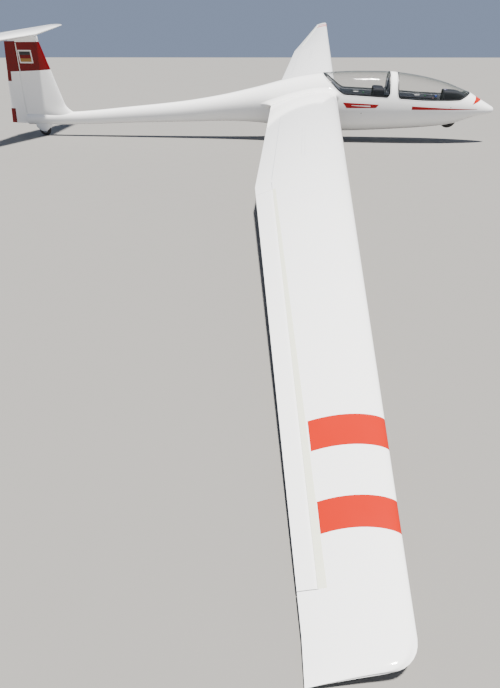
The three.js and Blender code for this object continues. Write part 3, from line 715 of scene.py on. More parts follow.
def red_at(rings, row, column):
    """True where a face of these rings lies above the foot of the red."""
    corner = rings[row][column]
    return (corner[2] + rings[row + 1][column][2]) / 2 > red_foot(corner[0])


def tilt_rings(rings, foot):
    """Slides the levels near the foot of the red onto its slant."""
    for ring in rings:
        weight = max(0.0, 1 - abs(ring[0][2] - foot) / 0.12)
        ring[:, 2] += weight * (red_foot(ring[:, 0]) - foot)
    return rings


boom_steps = [-0.9503] + list(np.arange(-1.0, -4.80, -0.1)) + [-4.838]
boom = body_loft("boom_skin", boom_steps, count=72)
TAIL_WHEEL_X = -4.575
TAIL_WELL = (TAIL_WHEEL_X - 0.118, TAIL_WHEEL_X + 0.118, -0.034, 0.034, 0, 0.232)
carve(boom, block(*TAIL_WELL))


def rudder_room(z):
    radius = fin_half(hinge_share(z), z) + 0.0035
    turns = np.radians(np.linspace(-90, 90, 13))
    front = [(hinge_x(z) + radius * math.cos(t), radius * math.sin(t), z) for t in turns]
    return front + [(hinge_x(z) - 0.4, 0.3, z), (hinge_x(z) - 0.4, -0.3, z)]


carve(boom, loft("cutter", [rudder_room(z) for z in (0.1, 0.8, 1.5)]))
settle(boom, "airframe", "gelcoat", "tail_boom")

RED_LEVEL = 1.03


def levels(foot, count, top):
    """Heights from the foot to the top, closer together above the red's foot."""
    both = np.concatenate([np.linspace(foot, RED_LEVEL, count), np.linspace(RED_LEVEL, top, 10)])
    return sorted(set(np.round(both, 4)))


def fin_flare(z):
    """How far the fin's front edge runs out on to the boom."""
    return 0.30 * max(0.0, 1 - (z - FIN_FOOT) / 0.24) ** 2.4


fin_rings = tilt_rings([fin_ring(z, fin_flare(z)) for z in levels(FIN_FOOT, 26, FIN_TOP)], RED_LEVEL)
fin = loft("fin_skin", fin_rings, [gelcoat, signal_red], lambda r, c: int(red_at(fin_rings, r, c)))
settle(fin, "airframe", "gelcoat", "fin")

rudder_rings = tilt_rings([rudder_ring(z) for z in levels(RUDDER_FOOT, 22, RUDDER_TOP)], RED_LEVEL)
BARE_EDGE = (0.43, 0.87)


def rudder_paint(row, column):
    """Red above the slant, and along the rear edge but for a bare length."""
    ring = rudder_rings[row]
    if red_at(rudder_rings, row, column):
        return 1
    z = (ring[column][2] + rudder_rings[row + 1][column][2]) / 2
    count = len(ring)
    trailing = column < 3 or column > count - 5
    return int(trailing and not BARE_EDGE[0] <= z <= BARE_EDGE[1])


rudder = loft("rudder_skin", rudder_rings, [gelcoat, signal_red], rudder_paint)
settle(rudder, "rudder", "gelcoat", "rudder")
print("fin and rudder faces:", len(fin.data.polygons), len(rudder.data.polygons))

# %% [markdown]
# The tailplane sits on top of the fin. Its hinge is one straight line square to the aircraft, so the elevator
# behind it is a single tapering flap that runs from tip to tip.

# %% Tailplane and elevator
TAIL = {"z": 1.566, "semi": 1.680, "root_front": -4.360, "tip_front": -4.618, "root_back": -5.000,
        "tip_back": -4.860, "ratio": 0.115, "tilt": 0.03}
ELEVATOR_TIP, ELEVATOR_SHARE = 1.676, 0.72


def tail_edges(y):
    """The tailplane's front and back edges at span y."""
    share = min(1.0, abs(y) / TAIL["semi"])
    return [TAIL[f"root_{edge}"] + (TAIL[f"tip_{edge}"] - TAIL[f"root_{edge}"]) * share
            for edge in ("front", "back")]


tip_front, tip_back = tail_edges(ELEVATOR_TIP)
ELEVATOR_X = tip_front - ELEVATOR_SHARE * (tip_front - tip_back)


def tail_point(y, x, side, scale=1.0):
    front, back = tail_edges(y)
    f = np.clip((front - np.asarray(x, float)) / (front - back), 0, 1)
    up = side * (half_thickness(f, TAIL["ratio"]) * (front - back) + 0.0015 * f) * scale
    z = TAIL["z"] - (np.asarray(x) + 4.680) * TAIL["tilt"] + up
    return np.stack([np.asarray(x, float), np.full(np.shape(x), float(y)), z], -1)


def tail_nose(y):
    return float(tail_point(y, ELEVATOR_X, 1)[2] - tail_point(y, ELEVATOR_X, -1)[2]) / 2


def tailplane_ring(y, cut=0.0, scale=1.0):
    front = tail_edges(y)[0] - cut
    back = ELEVATOR_X + tail_nose(y) + 0.0035
    x = front - fin_steps * (front - back)
    shape = np.minimum(1, np.sqrt((front - x) / 0.05)) if cut else 1
    return np.concatenate([tail_point(y, x, 1, scale * shape), tail_point(y, x, -1, scale * shape)[-2::-1]])


def elevator_ring(y, scale=1.0):
    radius = tail_nose(y) * scale
    back = tail_edges(y)[1]
    middle = tail_point(y, ELEVATOR_X, 0)
    x = ELEVATOR_X - np.linspace(1, 0.12, 8) * (ELEVATOR_X - back)
    nose = arc(middle, radius, np.linspace(80, -80, 11))
    return np.concatenate([tail_point(y, x, 1, scale), nose, tail_point(y, x[::-1], -1, scale)])


TAIL_ROUND_FROM, TAIL_ROUND, TAIL_CUT = 1.64, 0.04, 0.05
ends = []
for turn in np.radians([25, 50, 70, 85]):
    thin = math.sqrt(1 - 0.9 * math.sin(turn) ** 2)
    y = TAIL_ROUND_FROM + TAIL_ROUND * math.sin(turn)
    ends.append(tailplane_ring(y, TAIL_CUT * (1 - math.cos(turn)), thin))
middle_rings = [tailplane_ring(y) for y in (-TAIL_ROUND_FROM, -1.2, -0.8, -0.4, 0, 0.4, 0.8, 1.2,
                                            TAIL_ROUND_FROM)]
tail_rings = flipped(ends[::-1], -1) + middle_rings + ends
tailplane = loft("tailplane_skin", tail_rings)
settle(tailplane, "airframe", "gelcoat", "tailplane")
half_flap = [(0.8, 1), (1.655, 1), (1.67, 0.85), (ELEVATOR_TIP, 0.5)]
whole_flap = [(-y, thick) for y, thick in half_flap[::-1]] + [(0, 1)] + half_flap
elevator = loft("elevator_skin", [elevator_ring(y, thick) for y, thick in whole_flap])
settle(elevator, "elevator", "gelcoat", "elevator")
print("tailplane stations:", len(tail_rings))

# %% [markdown]
# Each canopy is a clear acrylic shell, 5 mm thick, in a frame with a white lip and a black seal. All are made
# from the fuselage's own surface, so they close flush. Refracting glass would need many light bounces through
# four surfaces, so the acrylic is see-through by its alpha instead, and grows denser and more mirror-like at
# a flat angle.

# %% Canopies
def clear_acrylic():
    material = bpy.data.materials.new("clear acrylic")
    material.use_nodes = True
    tree = material.node_tree
    shader = tree.nodes["Principled BSDF"]
    shader.inputs["IOR"].default_value = 1.49
    place = tree.nodes.new("ShaderNodeTexCoord")
    haze = new_node(tree, "ShaderNodeTexNoise", scale=5)
    tint = new_node(tree, "ShaderNodeMix", data_type="RGBA")
    tint.inputs["A"].default_value = (0.045, 0.055, 0.050, 1)
    tint.inputs["B"].default_value = (0.085, 0.098, 0.092, 1)
    rough = new_node(tree, "ShaderNodeMapRange", to_min=0.01, to_max=0.05)
    facing = new_node(tree, "ShaderNodeLayerWeight", blend=0.5)
    steep = new_node(tree, "ShaderNodeMath", operation="POWER")
    steep.inputs[1].default_value = 3.2
    dense = new_node(tree, "ShaderNodeMapRange", to_min=0.055, to_max=0.80)
    wire(tree, (place, "Object", haze, "Vector"), (haze, "Fac", rough, "Value"),
         (haze, "Fac", tint, "Factor"), (tint, "Result", shader, "Base Color"),
         (rough, "Result", shader, "Roughness"), (facing, "Facing", steep, 0),
         (steep, "Value", dense, "Value"), (dense, "Result", shader, "Alpha"))
    return material


acrylic = clear_acrylic()
rim_black = finish(
    "canopy seal black", (0.006, 0.006, 0.007), (0.012, 0.012, 0.013),
    8, 60, 0.35, 0.5, 0.2, 0.0003, gloss=0.3)
rim_inside = finish(
    "canopy frame inside", (0.36, 0.37, 0.35), (0.30, 0.31, 0.295), 60, 420, 0.42, 0.6, 0.5, 0.0005)
RIM_GAP, RIM_LIP, RIM_WIDTH, RIM_DEPTH = 0.004, 0.010, 0.028, 0.016
PANE_OUTSIDE, PANE_INSIDE, PANE_GAP = 0.001, 0.006, 0.0003
pane_steps = list(np.arange(2.66, 0.14, -0.03))
inner_steps = [2.70] + pane_steps + [0.1]
for which in ("front", "rear"):
    bands = []
    for name, outer, inner, material in (
            ("frame", RIM_GAP, RIM_GAP + RIM_LIP, gelcoat),
            ("seal", RIM_GAP + RIM_LIP, RIM_GAP + RIM_WIDTH, rim_black)):
        band = body_loft(f"canopy_{name}_lip_{which}", pane_steps, materials=[material])
        carve(band, body_loft("cutter", inner_steps, [RIM_DEPTH] * 3, [rim_inside]), transfer=True)
        carve(band, through(opening(which, outer)), "INTERSECT")
        carve(band, through(opening(which, inner)))
        bands.append(band)
    pane = body_loft(f"canopy_pane_{which}", pane_steps, [PANE_OUTSIDE] * 3, [acrylic])
    carve(pane, body_loft("cutter", inner_steps, [PANE_INSIDE] * 3))
    carve(pane, through(opening(which, RIM_GAP + RIM_WIDTH + PANE_GAP)), "INTERSECT")
    for piece, node, slot in (
            (bands[0], "frame", "gelcoat"), (bands[1], "frame", "canopy_frame_black"),
            (pane, "glass", "clear_pane")):
        settle(piece, f"canopy_{which}", slot, f"canopy_{node}_{which}")
    print(which, "rim", [len(band.data.polygons) for band in bands], "pane", len(pane.data.polygons))

# %% [markdown]
# The paint marks are thin films that lie on the skin. Each is a strip between a lower and an upper line in
# side view, laid on the fuselage half a millimetre proud, so it has clean edges at any distance. The
# lettering that such an aircraft carries is left off.

# %% Cheat line and nose triangle
def side_film(name, stations, low, high, side, material, out=0.0006):
    """A film on the fuselage side, between the heights low(x) and high(x)."""
    rings = []
    for x in stations:
        widest, top, bottom = (float(frame_value(column, x)) for column in (WIDEST, TOP, BOTTOM))
        turns = []
        for z in (low(x), high(x)):
            share = min(1.0, abs(z - widest) / (top - widest if z > widest else widest - bottom))
            turns.append(math.copysign(math.asin(share ** (SQUARE / 2)), z - widest))
        turn = np.linspace(*turns, 12)
        reach = np.where(turn > 0, top - widest, widest - bottom)
        z = widest + reach * np.sign(turn) * np.abs(np.sin(turn)) ** (2 / SQUARE)
        rings.append(np.concatenate([skin_point(x, z, out), skin_point(x, z, -0.002)[::-1]]))
    settle(loft(name, flipped(rings, side), [material]), "airframe", "gelcoat")


def between(x, x0, v0, x1, v1):
    """The value at x on a straight line from v0 at x0 to v1 at x1."""
    return v0 + (v1 - v0) * (x - x0) / (x1 - x0)


BLOCK = {"back_top": (0.598, 0.646), "back_low": (0.662, 0.567), "front_low": (1.118, 0.572),
         "front_top": (1.158, 0.621)}
SLOT = {"low": (0.738, 0.602, 1.030, 0.588), "high": (0.738, 0.610, 1.030, 0.604)}
STRIPE_START, STRIPE_BEND, STRIPE_END = 1.668, 2.10, 2.70
STRIPE = {"low": (0.549, 0.5465, 0.5465, 0.533), "high": (0.599, 0.573, 0.572, 0.5375)}
TRIANGLE = {"foot": (2.611, 0.603), "crown": (2.676, 0.6985), "front": (2.761, 0.6492)}


def block_low(x):
    if x < BLOCK["back_low"][0]:
        return between(x, *BLOCK["back_top"], *BLOCK["back_low"]) - 0.0005
    if x > BLOCK["front_low"][0]:
        return between(x, *BLOCK["front_low"], *BLOCK["front_top"]) - 0.0005
    return between(x, *BLOCK["back_low"], *BLOCK["front_low"])


def block_high(x):
    return between(x, *BLOCK["back_top"], *BLOCK["front_top"])


def slot_edge(edge):
    return lambda x: between(x, *SLOT[edge])


def stripe_edge(edge):
    """An edge of the thin stripe, which bends a little below the front canopy."""
    start, bend_before, bend_after, end = STRIPE[edge]
    return lambda x: (between(x, STRIPE_START, start, STRIPE_BEND, bend_before) if x < STRIPE_BEND
                      else between(x, STRIPE_BEND, bend_after, STRIPE_END, end))


def triangle_low(x):
    return between(x, *TRIANGLE["foot"], *TRIANGLE["front"]) - 0.0003


def triangle_high(x):
    """The mark's slanted rear edge, and ahead of it the ridge, where it meets the other side's mark."""
    return min(float(frame_value(TOP, x)), between(x, *TRIANGLE["foot"], *TRIANGLE["crown"]))


block_start, block_end = BLOCK["back_top"][0], BLOCK["front_top"][0]
slot_start, slot_end = SLOT["low"][0], SLOT["low"][2]
CHEAT_FILMS = [
    ("block_rear", block_start, slot_start, 10, block_low, block_high),
    ("block_low", slot_start, slot_end, 14, block_low, slot_edge("low")),
    ("block_high", slot_start, slot_end, 14, slot_edge("high"), block_high),
    ("block_front", slot_end, block_end, 8, block_low, block_high),
    ("line", STRIPE_START, STRIPE_END, 36, stripe_edge("low"), stripe_edge("high")),
]
for side_name, side in SIDES:
    for part, start, end, count, low, high in CHEAT_FILMS:
        side_film(f"cheat_{part}_{side_name}", np.linspace(start, end, count), low, high, side, cheat_red_with_painted_light)
    mark = np.linspace(TRIANGLE["foot"][0], TRIANGLE["front"][0], 48)
    side_film(f"nose_triangle_{side_name}", mark, triangle_low, triangle_high, side, band_orange, 0.0015)
print("films laid")

# %% [markdown]
# Turned parts such as tyres, wheels and axles are drawn as half sections and swept round the axle, which is
# how they are made on a lathe or in a round mould. A closed section gives a ring, an open one a solid.

# %% Lathe helper, rubber and metal
def lathe(name, section, middle, materials, count=96, ring=True):
    """section: (across, radius) points. The axis runs across the aircraft, through middle (x, y, z)."""
    section = np.asarray(section, float)
    rings = []
    for turn in np.arange(count) * 2 * math.pi / count:
        rings.append(np.stack([
            middle[0] + section[:, 1] * math.cos(turn), middle[1] + section[:, 0],
            middle[2] + section[:, 1] * math.sin(turn)], -1))
    size = len(section)
    faces = []
    for r in range(count):
        q = (r + 1) % count
        for c in range(size if ring else size - 1):
            d = (c + 1) % size
            faces.append((r * size + c, q * size + c, q * size + d, r * size + d))
    if not ring:
        faces.append(tuple(r * size for r in range(count)))
        faces.append(tuple(r * size + size - 1 for r in range(count)))
    return piece_from(name, np.concatenate(rings), faces, materials, None, 30)


rubber = finish("tyre rubber", (0.018, 0.018, 0.019), (0.034, 0.032, 0.03), 14, 160, 0.62, 0.85, 0.5, 0.0012)
cast_alloy = finish(
    "cast alloy", (0.62, 0.63, 0.64), (0.5, 0.51, 0.52), 20, 240, 0.3, 0.5, 0.35, 0.0006, metallic=1.0)
bright_steel = finish(
    "bright steel", (0.58, 0.58, 0.59), (0.42, 0.42, 0.43), 30, 300, 0.18, 0.34, 0.2, 0.0003, metallic=1.0)
skid_wear = finish("skid rubber", (0.03, 0.03, 0.03), (0.07, 0.065, 0.06), 40, 220, 0.6, 0.9, 0.6, 0.001)

# radius is the tyre's outside, minor the round of its tread, reach half the axle's length
WHEEL_SIZES = ("x", "radius", "minor", "rim", "half", "axle", "reach", "z")
WHEELS = {which: dict(zip(WHEEL_SIZES, sizes)) for which, sizes in {
    "main": (0.0, 0.200, 0.060, 0.098, 0.052, 0.015, 0.0815, MAIN_AXLE_HEIGHT),
    "nose": (2.330, 0.130, 0.042, 0.062, 0.038, 0.010, 0.0615, 0.345),
    "tail": (TAIL_WHEEL_X, 0.100, 0.024, 0.052, 0.022, 0.006, 0.042, 0.076 + 0.024 / math.cos(LEAN)),
}.items()}
GROOVES, GROOVE_HALF, GROOVE_DEPTH, BEAD = (-0.42, 0.0, 0.42), 0.045, 0.05, 0.70


def tyre_section(wheel):
    """A round tyre with three grooves round its crown and a bead at the rim."""
    minor, crown = wheel["minor"], wheel["radius"] - wheel["minor"]
    section = [(-minor * BEAD, wheel["rim"])]
    for turn in np.radians(np.linspace(0, 180, 73)):
        across = -minor * math.cos(turn)
        lift = crown + minor * math.sin(turn)
        near = min(abs(across / minor - groove) for groove in GROOVES)
        section.append((across, lift - (minor * GROOVE_DEPTH if near < GROOVE_HALF else 0)))
    section.append((minor * BEAD, wheel["rim"]))
    return section


def hub_section(wheel):
    rim, half, bore = wheel["rim"] - 0.0003, wheel["half"], wheel["axle"] + 0.0005
    outer = [(half, bore), (half, bore + 0.008), (half * 0.92, bore + 0.010), (half * 0.45, bore + 0.013),
             (half * 0.36, bore + 0.020), (half * 0.36, rim - 0.020), (half * 0.45, rim - 0.013),
             (half * 0.78, rim - 0.008), (half * 0.82, rim - 0.003), (half * 0.80, rim)]
    return outer + [(-a, r) for a, r in outer[::-1]]


for which, wheel in WHEELS.items():
    middle = (wheel["x"], 0, wheel["z"])
    tyre = lathe(f"{which}_tyre_tread", tyre_section(wheel), middle, [rubber], 128)
    hub = lathe(f"{which}_wheel_hub", hub_section(wheel), middle, [cast_alloy])
    a, r = wheel["reach"], wheel["axle"]
    pin = [(-a, 0.0008), (-a, r * 0.85), (-a + 0.002, r), (a - 0.002, r), (a, r * 0.85), (a, 0.0008)]
    axle = lathe(f"{which}_axle_pin", pin, middle, [bright_steel], 48, ring=False)
    for piece, body, node, slot in (
            (tyre, f"{which}_wheel", "tyre", "tyre_rubber"), (hub, f"{which}_wheel", "hub", "alloy"),
            (axle, "airframe", "axle", "steel")):
        settle(piece, body, slot, f"{which}_{node}")
    print(which, "tyre", len(tyre.data.polygons))

# %% [markdown]
# The tail wheel sits between the cheeks of a small moulded fairing. On top of the fin another fairing carries
# the tailplane. Both are lofts of rounded slices, cut by the pieces that they make room for.

# %% Tail fairings
def cheek_ring(z, front, back, half):
    middle, reach = (front + back) / 2, (front - back) / 2
    turns = np.radians((np.arange(64) + 0.5) * 360 / 64)
    c, s = np.cos(turns), np.sin(turns)
    return np.stack([middle + reach * np.sign(c) * np.abs(c) ** 0.7, half * np.sign(s) * np.abs(s) ** 0.5,
                     np.full(64, z)], -1)


cheeks = loft("tail_wheel_cheeks", [
    cheek_ring(0.0835, -4.524, -4.636, 0.0405), cheek_ring(0.086, -4.518, -4.642, 0.0425),
    cheek_ring(0.110, -4.470, -4.680, 0.0435), cheek_ring(0.150, -4.440, -4.712, 0.047),
    cheek_ring(0.205, -4.425, -4.720, 0.050)])
carve(cheeks, block(*TAIL_WELL))
carve(cheeks, body_loft("cutter", boom_steps, count=72))
settle(cheeks, "airframe", "gelcoat", "tail_wheel_fairing")
FAIRING_BACK = -4.872


def fairing_ring(z, front, half):
    f = fin_steps
    width = half * np.minimum(1, np.sqrt(f / 0.3)) * (1 - 0.55 * np.maximum(0, (f - 0.5) / 0.5) ** 2)
    left = np.stack([front - f * (front - FAIRING_BACK), width, np.full(len(f), z)], -1)
    return np.concatenate([left, (left * (1, -1, 1))[-2::-1]])


cap = loft("tailplane_fairing_skin", [
    fairing_ring(z, front, half) for z, front, half in [
        (1.4523, -4.362, 0.034), (1.470, -4.352, 0.0385), (1.490, -4.350, 0.040), (1.510, -4.351, 0.0395),
        (1.530, -4.356, 0.038), (1.548, -4.367, 0.033), (1.560, -4.380, 0.028)]])
plug = [tailplane_ring(y) - (0, 0, 0.0003) for y in (-0.2, 0.2)]
for lift in (0, 0.030):
    carve(cap, loft("cutter", [ring + (0, 0, lift) for ring in plug]))
carve(cap, block(-5.0, ELEVATOR_X + 0.034, -0.3, 0.3, 1.5, 1.7))
carve(cap, block(-5.0, -4.742, -0.3, 0.3, 1.4, RUDDER_TOP + 0.008))
settle(cap, "airframe", "gelcoat", "tailplane_fairing")
print("fairings:", len(cheeks.data.polygons), len(cap.data.polygons))

# %% [markdown]
# Gap tapes and the panel on the fin are films too. Ahead of each aileron a slightly yellowed tape covers the
# hinge gap; further in, a thin grey hairline runs along the wing at 82.5 percent of the chord. The fin
# carries a framed panel of three plain stripes and a pale tape along the rudder's hinge.

# %% Wing and fin films
tape_yellow = finish("aged tape", (0.78, 0.80, 0.66), (0.74, 0.76, 0.61), 30, 90, 0.3, 0.45, 0.2, 0.0003)
# A thin grey line along the inner wing's upper skin, from near the root to the aileron.
hairline_grey = finish("hairline grey", (0.30, 0.32, 0.35), (0.24, 0.26, 0.29), 30, 60, 0.4, 0.5, 0.1, 0.0002)
panel_black = finish(
    "panel black", (0.012, 0.012, 0.014), (0.02, 0.02, 0.022), 20, 200, 0.4, 0.55, 0.3, 0.0004)
panel_gold = finish("panel gold", (0.30, 0.15, 0.02), (0.27, 0.13, 0.018), 20, 90, 0.25, 0.35, 0.1, 0.0003)
fin_pale = finish("fin tape white", (0.78, 0.77, 0.74), (0.72, 0.71, 0.68), 20, 90, 0.25, 0.35, 0.1, 0.0003)


def wing_film(name, stations, front, back, side, material):
    """A film on the upper skin between two chord fractions."""
    rings = []
    for y in stations:
        top = wing_point(y, np.linspace(front(y), back(y), 5), 1)
        rings.append(np.concatenate([top + (0, 0, 0.0004), (top - (0, 0, 0.001))[::-1]]))
    settle(loft(name, flipped(rings, side), [material]), "airframe", "gelcoat")


def hinge_lip(y):
    """Chord fraction of the wing skin's rear lip, over the aileron's nose."""
    _, radius = aileron_line(y)
    return AILERON["hinge"] - (radius + AILERON["room"]) * 0.13 / chord_at(y)


def root_gap(side_name, side):
    """The dark joint between wing and fillet: a hairline that opens towards the trailing edge into a wedge of
    painted shade, for the gap that lies in shadow there.
    """
    rings = []
    for f in np.linspace(0.35, 0.995, 24):
        wide = 0.0015 + 0.011 * max(0.0, (f - 0.6) / 0.4) ** 1.5
        row = np.array([wing_point(y, f, 1) for y in (ROOT_GAP_Y, ROOT_GAP_Y + wide)])
        rings.append(np.concatenate([row + (0, 0, 0.0005), row[::-1] - (0, 0, 0.002)]))
    settle(loft(f"root_gap_{side_name}", flipped(rings, side), [joint_and_painted_shade]), "airframe", "panel_black")


ROOT_GAP_Y, HAIRLINE_SHARE = 0.4004, 0.8255
# The root joint's finish is near-black: a real dark joint, and towards the trailing edge painted shade.
joint_and_painted_shade = finish("root joint and painted shade", (0.030, 0.030, 0.032), (0.05, 0.05, 0.052), 30, 60, 0.5, 0.6, 0.1, 0.0002)
tape_run = np.linspace(AILERON["inner"], AILERON["outer"], 24)
hairline_run = np.linspace(1.75, AILERON["inner"] - 0.02, 20)
for side_name, side in SIDES:
    wing_film(f"aileron_tape_{side_name}", tape_run, lambda y: hinge_lip(y) - 0.024 / chord_at(y),
              lambda y: hinge_lip(y) - 0.0012 / chord_at(y), side, tape_yellow)
    wing_film(f"wing_hairline_{side_name}", hairline_run, lambda y: HAIRLINE_SHARE, lambda y: HAIRLINE_SHARE + 0.0035 / chord_at(y),
              side, hairline_grey)
for side_name, side in SIDES:
    root_gap(side_name, side)


def fin_film(name, z0, z1, x0, x1, side, material, out=0.0006):
    """A film on the fin between two heights, from x0(z) back to x1(z)."""
    rings = []
    for z in np.linspace(z0, z1, 6):
        x = np.linspace(x0(z), x1(z), 6)
        y = fin_half((fin_front(z) - x) / (fin_front(z) - rudder_back(z)), z)
        outer, inner = (np.stack([x, y + lift, np.full(6, z)], -1) for lift in (out, -0.002))
        rings.append(np.concatenate([outer, inner[::-1]]))
    settle(loft(name, flipped(rings, side), [material]), "airframe", "gelcoat")


PANEL = {"front": -4.496, "back": -4.733, "low": 1.146, "high": 1.338, "edge": 0.020}
third = (PANEL["high"] - PANEL["low"] - 2 * PANEL["edge"]) / 3
for side_name, side in SIDES:
    fin_film(f"fin_panel_{side_name}", PANEL["low"], PANEL["high"], lambda z: PANEL["front"],
             lambda z: PANEL["back"], side, fin_pale)
    stripes = (("gold", panel_gold), ("red", signal_red), ("black", panel_black))
    for number, (color_name, material) in enumerate(stripes):
        low = PANEL["low"] + PANEL["edge"] + third * number
        fin_film(f"fin_panel_{color_name}_{side_name}", low, low + third,
                 lambda z: PANEL["front"] - PANEL["edge"], lambda z: PANEL["back"] + PANEL["edge"],
                 side, material, 0.0011)
    fin_film(f"rudder_gap_tape_{side_name}", 1.02, 1.44, lambda z: hinge_x(z) + 0.046,
             lambda z: hinge_x(z) + 0.031, side, fin_pale)
print("films on wing and fin laid")

# %% [markdown]
# Airbrakes rise out of the wings as blades, and each blade wears a strip of skin as its lid. Closed, the lid
# lies flush and shows as a hairline round a long narrow rectangle.

# %% Airbrakes
blade_alloy = finish(
    "blade alloy", (0.55, 0.56, 0.57), (0.48, 0.49, 0.5), 12, 150, 0.35, 0.5, 0.2, 0.0004, metallic=1.0)
LID_GAP = 0.0009


def blade_ring(y):
    x, _, z = wing_point(y, BRAKE["fraction"], 1)
    w = BRAKE["half"] - 0.005
    return [(x - w, y, z - 0.079), (x + w, y, z - 0.079), (x + w, y, z - 0.003), (x - w, y, z - 0.003)]


def lid_ring(y):
    reach = (BRAKE["half"] + BRAKE["room"] - LID_GAP) / chord_at(y)
    top = wing_point(y, np.linspace(BRAKE["fraction"] + reach, BRAKE["fraction"] - reach, 7), 1)
    return np.concatenate([top, (top - (0, 0, 0.004))[::-1]])


lid_run = np.linspace(BRAKE["inner"] - BRAKE["room"] + LID_GAP, BRAKE["outer"] + BRAKE["room"] - LID_GAP, 8)
for side_name, side in SIDES:
    blade_rings = flipped([blade_ring(y) for y in (BRAKE["inner"], BRAKE["outer"])], side)
    blade = loft(f"airbrake_blade_{side_name}", blade_rings, [blade_alloy])
    lid = loft(f"airbrake_lid_{side_name}", flipped([lid_ring(y) for y in lid_run], side))
    for piece, slot in ((blade, "alloy"), (lid, "gelcoat")):
        settle(piece, f"airbrake_{side_name}", slot, f"airbrake_{side_name}")
print("airbrakes closed")

# %% [markdown]
# The cockpits need rods, straps and turned knobs. A rod or a strap is one cross-section carried along a path,
# as a hose is extruded. A turned part is a row of circles along any axis.

# %% Rods, straps and turned parts
def level(points):
    """The inverse of parked: frame points as they lie in the level aircraft."""
    return (np.asarray(points, float) - SHIFT) @ ROLL


def along(path):
    steps = np.gradient(path, axis=0)
    return steps / np.linalg.norm(steps, axis=1, keepdims=True)


def rod(name, path, radius, materials, sides=12):
    """A round rod along level aircraft points. radius is one value, or one for each point."""
    path = np.asarray(path, float)
    radius = np.broadcast_to(radius, len(path))
    across = np.cross(along(path)[0], (0.0, 0.0, 1.0))
    if np.linalg.norm(across) < 0.2:
        across = np.array([0.0, 1.0, 0.0])
    rings = []
    turns = np.arange(sides) * 2 * math.pi / sides
    for point, ahead, r in zip(path, along(path), radius):
        across = across - ahead * (across @ ahead)
        across = across / np.linalg.norm(across)
        other = np.cross(ahead, across)
        rings.append(point + r * (np.cos(turns)[:, None] * across + np.sin(turns)[:, None] * other))
    return loft(name, rings, materials, sharp=50)


STRAP_EDGE = ((-1, -0.4), (-0.97, -1), (0.97, -1), (1, -0.4), (1, 0.4), (0.97, 1), (-0.97, 1), (-1, 0.4))


def strap(name, path, width, across, materials, thick=0.0022):
    """Flat webbing along a path. across points along its width."""
    path, across = np.asarray(path, float), np.asarray(across, float)
    rings = []
    for point, ahead in zip(path, along(path)):
        side_way = across - ahead * (across @ ahead)
        side_way = side_way / np.linalg.norm(side_way)
        up = np.cross(ahead, side_way)
        rings.append([point + side_way * u * width / 2 + up * v * thick / 2 for u, v in STRAP_EDGE])
    return loft(name, rings, materials, sharp=50)


def turned(name, profile, base, axis, materials, count=32, sharp=30):
    """profile: (along, radius) from base along axis."""
    axis = np.asarray(axis, float) / np.linalg.norm(axis)
    helper = np.array([0.0, 0.0, 1.0]) if abs(axis[2]) < 0.8 else np.array([0.0, 1.0, 0.0])
    u = np.cross(axis, helper)
    u = u / np.linalg.norm(u)
    v = np.cross(axis, u)
    turns = np.arange(count) * 2 * math.pi / count
    circle = np.cos(turns)[:, None] * u + np.sin(turns)[:, None] * v
    return loft(name, [np.asarray(base) + axis * a + circle * r for a, r in profile], materials, sharp=sharp)


def curve_through(points, count):
    """A smooth path through a few points."""
    points = np.asarray(points, float)
    padded_points = np.concatenate([[2 * points[0] - points[1]], points, [2 * points[-1] - points[-2]]])
    path = []
    for t in np.linspace(0, len(points) - 1, count):
        k = min(int(t), len(points) - 2)
        f = t - k
        a, b, c, d = padded_points[k:k + 4]
        path.append(0.5 * (
            2 * b + (c - a) * f + (2 * a - 5 * b + 4 * c - d) * f**2 + (3 * b - a - 3 * c + d) * f**3))
    return np.array(path)


print("sweeping helpers ready")

# %% [markdown]
# Each seat is a thin moulded tray with raised sides, which carries a back cushion and a seat cushion. The
# tray is cut from one thick side-view outline by a narrower one.

# %% Seat trays
SEATS = {"front": (1.775, 0.372), "rear": (0.775, 0.372)}
SEAT_LOW = np.array([(-0.500, 0.395), (-0.210, 0.005), (-0.070, -0.040), (0.070, -0.022), (0.235, 0.050)])
SEAT_HIGH = np.array([(-0.452, 0.400), (-0.175, 0.045), (-0.060, 0.010), (0.060, 0.022), (0.230, 0.092)])
SEAT_HALF, LIP = 0.190, 0.009


def seat_line(share, count=40):
    """A smooth side-view line between the underside (0) and the top (1) of a seat."""
    points = SEAT_LOW + (SEAT_HIGH - SEAT_LOW) * share
    path = curve_through(np.stack([points[:, 0], np.zeros(5), points[:, 1]], -1), count)
    return path[:, [0, 2]]


for which, place in SEATS.items():
    low, high, floor_line = seat_line(0.0), seat_line(1.0), seat_line(0.26)
    shell = np.concatenate([low, high[::-1]]) + place
    tray = plate(shell, -SEAT_HALF, SEAT_HALF, f"seat_tray_{which}", [cockpit_grey])
    room = np.concatenate([
        floor_line[:1] - (0.2, -0.02), floor_line, floor_line[-1:] + (0.2, 0.06), [(0.6, 0.9), (-0.7, 0.9)]])
    carve(tray, plate(room + place, -SEAT_HALF + LIP, SEAT_HALF - LIP))
    settle(tray, "airframe", "cockpit_grey", f"seat_{which}")
    print(which, "tray faces:", len(tray.data.polygons))

# %% [markdown]
# Cushions are cut-and-sewn covers pulled over foam. Each starts as a slab a little smaller than the finished
# cushion, is remeshed into even cells, and is blown up by a cloth simulation whose seams and underside are
# held, so it crowns between its seams as real padding does. How far a point may move is capped.

